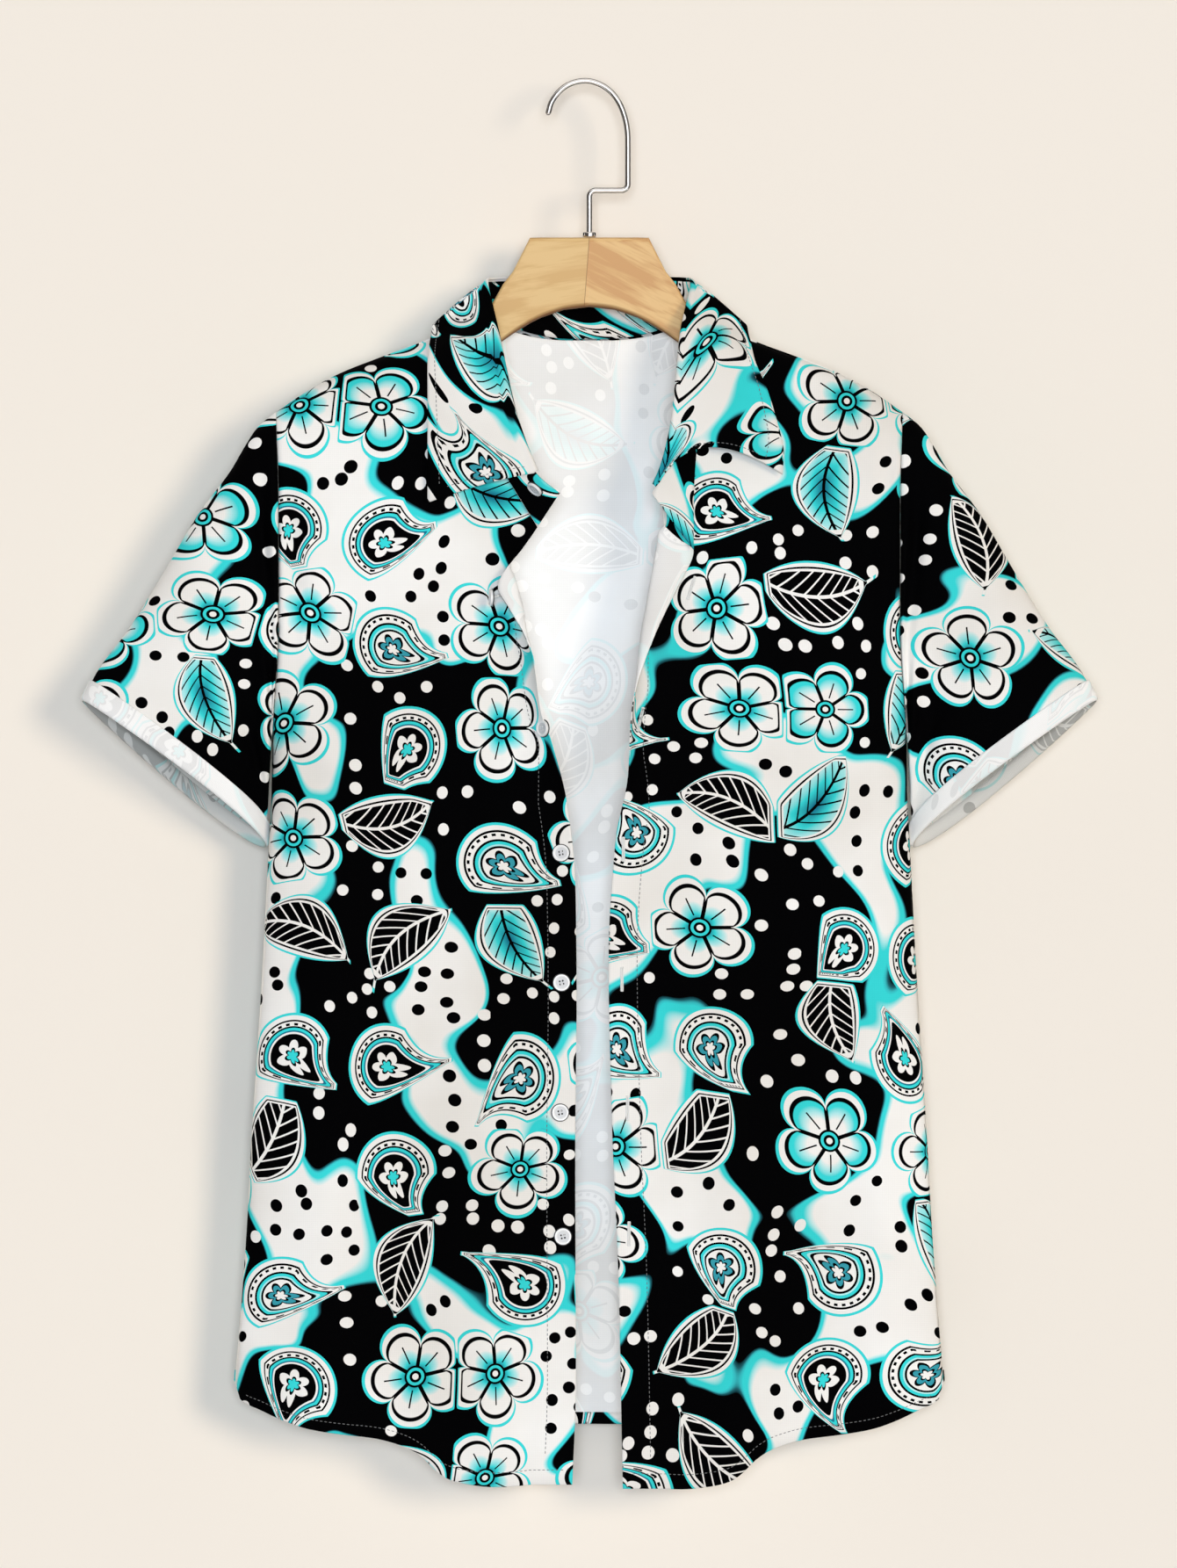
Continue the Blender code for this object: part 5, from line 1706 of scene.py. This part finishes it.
@dataclass(frozen=True)
class Button:
    """A four-holed white shirt button with a raised rim, on a black disc of painted shade that darkens its
    edge and holes, and its stem of thread.
    """

    radius: float = 0.0058
    thick: float = 0.0024
    rim: float = 0.0012
    dish: float = 0.0006
    hole: float = 0.0007
    pitch: float = 0.0011
    # the black disc under the button, painted shade for its dark edge and holes: its thickness, and how far
    # it stands past the button's edge
    back: float = 0.0006
    edge: float = 0.0006
    slope: float = 0.0005
    corners: tuple[tuple[int, int], ...] = ((-1, -1), (1, -1), (-1, 1), (1, 1))
    # x, height, degrees turned from the front, lift off the panel, and degrees tipped down to the left
    places: Table = (
        (-0.0386, -0.2877, -12, 0.013, 60), (-0.069, -0.364, -82, 0.0125, 0), (-0.033, -0.456, -50, 0.012, 0),
        (-0.02, -0.5437, -8, 0.0035, 0), (-0.0196, -0.635, 0, 0.0022, 0), (-0.0205, -0.7266, 0, 0.0022, 0),
        (-0.0186, -0.814, 0, 0.0022, 0))
    tip_axis: tuple[float, float, float] = (0.88, 0.0, -0.47)
    spin: float = 12.0

    def model(self, finishes: Finishes) -> Object:
        """Turns one button on its back at the origin, facing +Z.

        Args:
            finishes: The part's materials.

        Returns:
            The button, of which each copy has its own mesh.
        """
        made = add_disc(self.radius, self.thick, (0, 0, self.thick / 2))
        bpy.ops.object.mode_set(mode="EDIT")
        bpy.ops.mesh.select_all(action="DESELECT")
        bpy.ops.mesh.select_mode(type="FACE")
        select_top(made.data)
        bpy.ops.mesh.inset(thickness=self.rim)
        bpy.ops.mesh.inset(thickness=self.slope)
        bpy.ops.transform.translate(value=(0, 0, -self.dish))
        for finish in (finishes.button, finishes.dish):
            made.data.materials.append(finish)
        shape = bmesh.from_edit_mesh(made.data)
        for face in shape.faces:
            face.material_index = int(face.select)
        bmesh.update_edit_mesh(made.data)
        bpy.ops.object.mode_set(mode="OBJECT")
        round_edges(made, 0.0003, 3, 40)
        for x, y in self.corners:
            pin = add_disc(self.hole, 4 * self.thick, (x * self.pitch, y * self.pitch, 0), 16)
            bpy.context.view_layer.objects.active = made
            cut = made.modifiers.new("Hole", "BOOLEAN")
            cut.object, cut.solver = pin, "EXACT"
            bpy.ops.object.modifier_apply(modifier="Hole")
            bpy.data.objects.remove(pin, do_unlink=True)
        # a black disc under the button: painted shade round its edge and in its holes
        layer = add_disc(self.radius + self.edge, self.back, (0, 0, self.back / 2))
        layer.data.materials.append(finishes.button_shade_disc)
        made.select_set(True)
        bpy.context.view_layer.objects.active = made
        bpy.ops.object.join()
        smoothed(made.data, 35)
        return made

    def build(self, cloth: Array, finishes: Finishes) -> None:
        """Copies the button to its seven places and sews on all but the first.

        Args:
            cloth: The left front's grid.
            finishes: The part's materials.
        """
        first = self.model(finishes)
        threads = Threads("button_thread", finishes.thread)
        flat = cloth.reshape(-1, 3)
        for i, (x, z, turn, lift, tip) in enumerate(self.places):
            tipped = Matrix.Rotation(radians(tip), 4, Vector(self.tip_axis))
            facing = tipped @ Matrix.Rotation(radians(turn), 4, "Z")
            facing = facing @ Matrix.Rotation(pi / 2, 4, "X") @ Matrix.Rotation(radians(self.spin), 4, "Z")
            place = Matrix.Translation(Vector(FORM.point(x, z, Facing.FRONT, lift))) @ facing
            mesh = first.data.copy()
            mesh.transform(place)
            add_piece(f"shirt_button_{i + 1}", mesh, "button", f"button_{i + 1}")
            under = np.array(place @ Vector((0, 0, 0.0004)))
            if i:
                near = flat[np.argmin(np.linalg.norm(flat - under, axis=1))]
                self.shank(threads, under, near, place)
        bpy.data.objects.remove(first, do_unlink=True)
        threads.finish_piece("button")
        log.info("buttons: %d", len(self.places))

    def shank(self, threads: Threads, under: Array, near: Array, place: Matrix) -> None:
        """Winds the short stem of thread between a button's back and the cloth.

        Args:
            threads: Where the thread goes.
            under: The middle of the button's back.
            near: The cloth's nearest point.
            place: The button's place and turn.
        """
        for x, y in self.corners:
            spread = np.array(place.to_3x3() @ Vector((x * self.pitch * 0.6, y * self.pitch * 0.6, 0)))
            sideways = np.array(place.to_3x3() @ Vector((x, y, 0))) / 2**0.5
            threads.lay(under + spread, near + spread * 0.4, sideways, 0.0009, 0.0002)


@dataclass(frozen=True)
class Hook:
    """The hanger's bent wire and the ferrule that it stands in."""

    wire: float = 0.0019
    bow: Table = (
        (-0.029, -0.0205), (-0.0265, -0.0128), (-0.0208, -0.0052), (-0.013, -0.0001), (-0.003, 0.0019),
        (0.0063, -0.0001), (0.0148, -0.0056), (0.0212, -0.014), (0.0251, -0.024), (0.0269, -0.034),
        (0.0272, -0.044), (0.0272, -0.07))
    drop: float = -0.0756
    bend: float = 0.0045
    foot: float = -0.1049
    ferrule_radius: float = 0.0045
    ferrule_height: float = 0.0035
    wood_top: float = -0.109
    clearance: float = 0.0006
    dip: float = 0.0004

    def path(self) -> list[tuple[float, float]]:
        """Bends the wire: the bow, a quarter turn in under it and one down to the wood.

        Returns:
            x and z along the wire, from its tip.
        """
        path = [tuple(spot) for spot in smooth_run(np.array(self.bow), 8)]
        for x, z, start, end in ((self.bow[-1][0] - self.bend, self.drop + self.bend, 0, -90),
                                 (self.bend, self.drop - self.bend, 90, 180)):
            path += [(x + self.bend * cos(radians(a)), z + self.bend * sin(radians(a)))
                     for a in np.linspace(start, end, 14)]
        return path + [(0, self.foot)]

    def build(self, finishes: Finishes) -> None:
        """Makes the wire with a rounded tip, and the ferrule.

        Args:
            finishes: The part's materials.
        """
        path = np.array([(x, 0, z) for x, z in self.path()])
        ahead = (path[0] - path[1]) / np.linalg.norm(path[0] - path[1])
        caps = [(ahead * self.wire * sin(t), self.wire * cos(t)) for t in (1.45, 1.1, 0.7, 0.35)]
        radii = [radius for _, radius in caps] + [self.wire] * len(path)
        path = np.concatenate([[path[0] + shift for shift, _ in caps], path])
        curve = bpy.data.curves.new("hook_wire", "CURVE")
        curve.dimensions = "3D"
        curve.bevel_depth = 1.0
        curve.bevel_resolution = 6
        curve.use_fill_caps = True
        spline = curve.splines.new("POLY")
        spline.points.add(len(path) - 1)
        for point, spot, radius in zip(spline.points, path, radii):
            point.co = (*spot, 1)
            point.radius = radius
        bpy.ops.object.select_all(action="DESELECT")
        made = bpy.data.objects.new("hook_wire", curve)
        bpy.context.collection.objects.link(made)
        made.select_set(True)
        bpy.context.view_layer.objects.active = made
        bpy.ops.object.convert(target="MESH")
        self.dress(bpy.context.object, "hanger_hook", 50, finishes)
        high = self.ferrule_height
        ring = add_disc(self.ferrule_radius, high, (0, 0, self.wood_top + SEAM + high / 2), 64)
        bpy.ops.object.mode_set(mode="EDIT")
        bpy.ops.mesh.select_all(action="DESELECT")
        select_top(ring.data)
        bpy.ops.mesh.inset(thickness=self.ferrule_radius - self.wire - self.clearance)
        bpy.ops.transform.translate(value=(0, 0, -self.dip))
        bpy.ops.object.mode_set(mode="OBJECT")
        round_edges(ring, 0.0008, 4, 30)
        bpy.ops.object.transform_apply(location=True, rotation=True, scale=True)
        ring.name = "hook_ferrule"
        self.dress(ring, "hanger_ferrule", 35, finishes)

    def dress(self, made: Object, node: str, angle: float, finishes: Finishes) -> None:
        """Gives a piece its plating and its place in the frame.

        Args:
            made: The piece.
            node: The CAD node that it stands for.
            angle: Degrees up to which it is shaded smooth.
            finishes: The part's materials.
        """
        smoothed(made.data, angle)
        made.data.materials.clear()
        made.data.materials.append(finishes.chrome)
        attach(made, "root")
        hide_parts(node)
        log.info("%s: %d faces", made.name, len(made.data.polygons))


# ---- the studio


@dataclass(frozen=True)
class Studio:
    """A cream wall close behind the shirt, a floor, soft lights and the camera."""

    wall_y: float = 0.058
    floor_z: float = -1.65
    cream: str = "#F1E9DF"
    centre: tuple[float, float] = (-0.0006, -0.4951)
    seen_height: float = 1.1067
    distance: float = 12.0
    face_y: float = -0.015
    dome_radius: float = 26.0
    # name, place, width and height, colour and strength
    cards: tuple[tuple, ...] = (
        ("grey flag", (-1.5, -1.0, -0.1), (3.2, 3.2), "#8A7E74", 0.35),
        ("black flag", (0.0, 0.03, -0.01), (0.30, 0.20), "#0A0A0A", 0.2),
        ("brown flag", (2.4, -0.3, -0.1), (2.6, 3.0), "#6E655D", 0.3),
        ("white card", (0.9, -3.0, -0.1), (3.0, 3.0), "#FFFFFF", 1.1))
    # name, where it shines from, part of a white card's brightness that it gives, width in degrees, tint
    suns: tuple[tuple, ...] = (
        ("key", (1.25, -2.4, 0.35), 0.358, 16, "#FFEDD4"),
        ("front", (0.0, -3.0, 0.04), 0.585, 14, "#EAF4FF"),
        ("behind", (-0.6, 3.0, 1.0), 0.42, 30, "#FFFFFF"),
        ("left", (-3.0, 0.1, 0.8), 0.16, 40, "#FFFFFF"))
    air: str = "#FBFAF9"
    air_strength: float = 0.22

    def backdrop(self) -> None:
        """Hangs the wall, which can be seen through from behind, and lays the floor."""
        for name, corners, lit in (
                ("wall", ((-3, 2.5), (-3, self.floor_z), (3, self.floor_z), (3, 2.5)), 0.0),
                ("floor", ((-26, -26), (26, -26), (26, 26), (-26, 26)), 0.45)):
            build = bmesh.new()
            spots = [(x, self.wall_y, z) if name == "wall" else (x, z, self.floor_z) for x, z in corners]
            build.faces.new([build.verts.new(spot) for spot in spots])
            mesh = bpy.data.meshes.new(name)
            build.to_mesh(mesh)
            build.free()
            made = bpy.data.objects.new(name, mesh)
            bpy.context.collection.objects.link(made)
            made.visible_shadow = False
            made.visible_diffuse = name == "wall"
            paper, shader, add = new_material(f"cream paper of the {name}")
            plug(shader, {"Base Color": linear(self.cream), "Roughness": 0.9, "Specular IOR Level": 0.0,
                          "Emission Color": linear(self.cream), "Emission Strength": lit})
            behind = add("NewGeometry").outputs["Backfacing"]
            mixed = add("MixShader", behind, shader, add("BsdfTransparent"))
            plug(paper.node_tree.nodes["Material Output"], {0: mixed})
            mesh.materials.append(paper)

    def sun(self, name: str, spot: tuple[float, float, float], share: float, spread: float,
            colour: str) -> None:
        """Adds a far soft lamp that shines at the shirt's middle.

        Args:
            name: The lamp's name.
            spot: Where it shines from.
            share: The part of a white card's brightness that it gives.
            spread: Its width in degrees, which softens its shadows.
            colour: Its tint; the photograph's shadows are greyer than its warm wall.
        """
        lamp = bpy.data.lights.new(name, "SUN")
        lamp.energy, lamp.angle, lamp.color = share * pi, radians(spread), linear(colour)[:3]
        # light from behind isn't thrown back by the wall, which would glow round the shirt
        lamp.cycles.max_bounces = 0 if spot[1] > 1 else 1024
        made = bpy.data.objects.new(name, lamp)
        made.location = spot
        made.rotation_euler = (-Vector(spot)).to_track_quat("-Z", "Y").to_euler()
        # only the lamps in front leave highlights on the wood and the buttons
        made.visible_glossy = spot[1] < -1
        bpy.context.collection.objects.link(made)

    def surround(self) -> None:
        """Closes the studio with a cream dome, and cards that only polished metal shows."""
        bpy.ops.object.select_all(action="DESELECT")
        bpy.ops.mesh.primitive_uv_sphere_add(segments=48, ring_count=24, radius=self.dome_radius)
        dome = bpy.context.object
        dome.name = "dome"
        dome.visible_shadow = dome.visible_diffuse = False
        self.light_up(dome, "lit cream dome", self.cream, 1.0)
        for name, spot, size, colour, strength in self.cards:
            bpy.ops.object.select_all(action="DESELECT")
            turn = Vector((spot[0], spot[1], 0)).to_track_quat("Z", "Y").to_euler()
            bpy.ops.mesh.primitive_plane_add(size=1, location=spot, rotation=turn)
            card = bpy.context.object
            card.name = name
            card.scale = (*size, 1)
            card.visible_camera = card.visible_shadow = card.visible_diffuse = False
            self.light_up(card, name, colour, strength)

    def light_up(self, made: Object, name: str, colour: str, strength: float) -> None:
        """Gives a surface of the studio its own light.

        Args:
            made: The surface.
            name: The material's name.
            colour: What it shines.
            strength: How brightly.
        """
        paint, _, add = new_material(name)
        plug(paint.node_tree.nodes["Material Output"], {0: add("Emission", linear(colour), strength)})
        made.data.materials.append(paint)

    def camera(self) -> None:
        """Looks straight at the shirt's front through a long lens."""
        data = bpy.data.cameras.new("camera")
        data.sensor_width = 36
        data.lens = data.sensor_width * self.distance / self.seen_height
        data.clip_end = 60
        made = bpy.data.objects.new("camera", data)
        made.location = (self.centre[0], self.face_y - self.distance, self.centre[1])
        made.rotation_euler = (pi / 2, 0, 0)
        bpy.context.collection.objects.link(made)
        bpy.context.scene.camera = made

    def build(self) -> None:
        """Sets up everything round the part."""
        self.camera()
        self.backdrop()
        self.surround()
        for sun in self.suns:
            self.sun(*sun)
        world = bpy.data.worlds.new("studio")
        world.use_nodes = True
        shade = world.node_tree.nodes["Background"]
        shade.inputs[0].default_value = linear(self.air)
        shade.inputs[1].default_value = self.air_strength
        bpy.context.scene.world = world
        bpy.context.scene.view_settings.view_transform = "Standard"


# ---- the whole part


class Shirt:
    """The shirt on its hanger, piece by piece."""

    # the necks as x outwards and z, and the front edges
    left_neck: Table = (
        (0.077, -0.1599), (0.0785, -0.182), (0.078, -0.215), (0.0715, -0.25), (0.0595, -0.276),
        (0.045, -0.299), (0.0375, -0.3125))
    left_edge: Table = (
        (-0.3137, -0.0366, -0.0366, 0.004), (-0.33, -0.048, -0.0484, 0.008), (-0.34, -0.055, -0.0568, 0.011),
        (-0.356, -0.051, -0.0645, 0.013), (-0.37, -0.0472, -0.057, 0.017), (-0.387, -0.0446, -0.047, 0.02),
        (-0.405, -0.04, -0.04, 0.02), (-0.444, -0.034, -0.034, 0.015), (-0.464, -0.027, -0.027, 0.012),
        (-0.506, -0.016, -0.016, 0.006), (-0.56, -0.01, -0.01, 0.002), (-0.64, -0.009, -0.009, 0.001),
        (-0.748, -0.01, -0.01, 0.001), (-0.9, -0.0095, -0.0095, 0.001), (-0.969, -0.012, -0.012, 0.001))
    right_neck: Table = (
        (0.077, -0.1599), (0.0785, -0.182), (0.079, -0.215), (0.0775, -0.245), (0.0715, -0.27),
        (0.062, -0.288), (0.0513, -0.301))
    right_edge: Table = (
        (-0.301, 0.0513, 0.0513, 0.004), (-0.312, 0.05, 0.053, 0.009), (-0.322, 0.0487, 0.0625, 0.011),
        (-0.33, 0.0475, 0.0735, 0.009), (-0.3546, 0.043, 0.063, 0.01), (-0.369, 0.0405, 0.0558, 0.012),
        (-0.386, 0.0372, 0.0477, 0.015), (-0.408, 0.0347, 0.039, 0.018), (-0.425, 0.033, 0.0335, 0.019),
        (-0.442, 0.0305, 0.0305, 0.016), (-0.487, 0.0277, 0.0277, 0.01), (-0.533, 0.0186, 0.0186, 0.004),
        (-0.616, 0.0136, 0.0136, 0.001), (-0.73, 0.016, 0.016, 0.001), (-0.834, 0.0205, 0.0205, 0.001),
        (-0.9765, 0.0236, 0.0236, 0.001))

    def __init__(self, nodes: dict) -> None:
        """Makes the finishes.

        Args:
            nodes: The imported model's nodes by name.
        """
        self.nodes = nodes
        self.finishes = Finishes()
        self.left = FrontPanel(Side.LEFT, self.left_neck, FrontEdge(self.left_edge))
        self.right = FrontPanel(Side.RIGHT, self.right_neck, FrontEdge(self.right_edge))

    def build(self) -> None:
        """Builds the cloth, its sewing, the buttons and the hanger in order."""
        panels = {panel.side: panel.build(self.finishes) for panel in (self.left, self.right)}
        back = BackPanel().build(self.finishes)
        for side in Side:
            Sleeve(side).build(self.finishes)
        fall = Collar().build(self.finishes)
        Seams().build(panels, back, fall, self.finishes)
        Buttonholes().build(panels[Side.RIGHT], self.finishes)
        Button().build(panels[Side.LEFT], self.finishes)
        Hook().build(self.finishes)
        for name in ("hanger_left", "hanger_right"):
            for slot in self.nodes[name].material_slots:
                slot.material = self.finishes.wood
            log.info("%s: lacquered", name)
        self.glue_line()

    def glue_line(self) -> None:
        """Fills the thin gap between the hanger's halves, in the shape of the left half's end."""
        half = self.nodes["hanger_left"]
        spots = [half.matrix_world @ vert.co for vert in half.data.vertices]
        edge = max(spot.x for spot in spots)
        ring = np.array(sorted({(round(s.y, 6), round(s.z, 6)) for s in spots if s.x > edge - 1e-5}))
        middle = ring.mean(axis=0)
        ring = sorted(ring, key=lambda s: atan2(s[1] - middle[1], s[0] - middle[0]))
        build = bmesh.new()
        build.faces.new([build.verts.new((edge + MM / 100, *spot)) for spot in ring])
        mesh = bpy.data.meshes.new("hanger_glue")
        build.to_mesh(mesh)
        build.free()
        mesh.materials.append(self.finishes.wood)
        wall = add_piece("hanger_glue", mesh, "wood").modifiers.new("Wall", "SOLIDIFY")
        wall.thickness, wall.offset = 2 * (abs(edge) - MM / 100), 1


def main() -> None:
    """Builds the part in its studio."""
    logging.basicConfig(level=logging.INFO, format="%(message)s")
    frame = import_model()
    Studio().build()
    Shirt(frame["nodes"]).build()


if __name__ == "__main__":
    main()
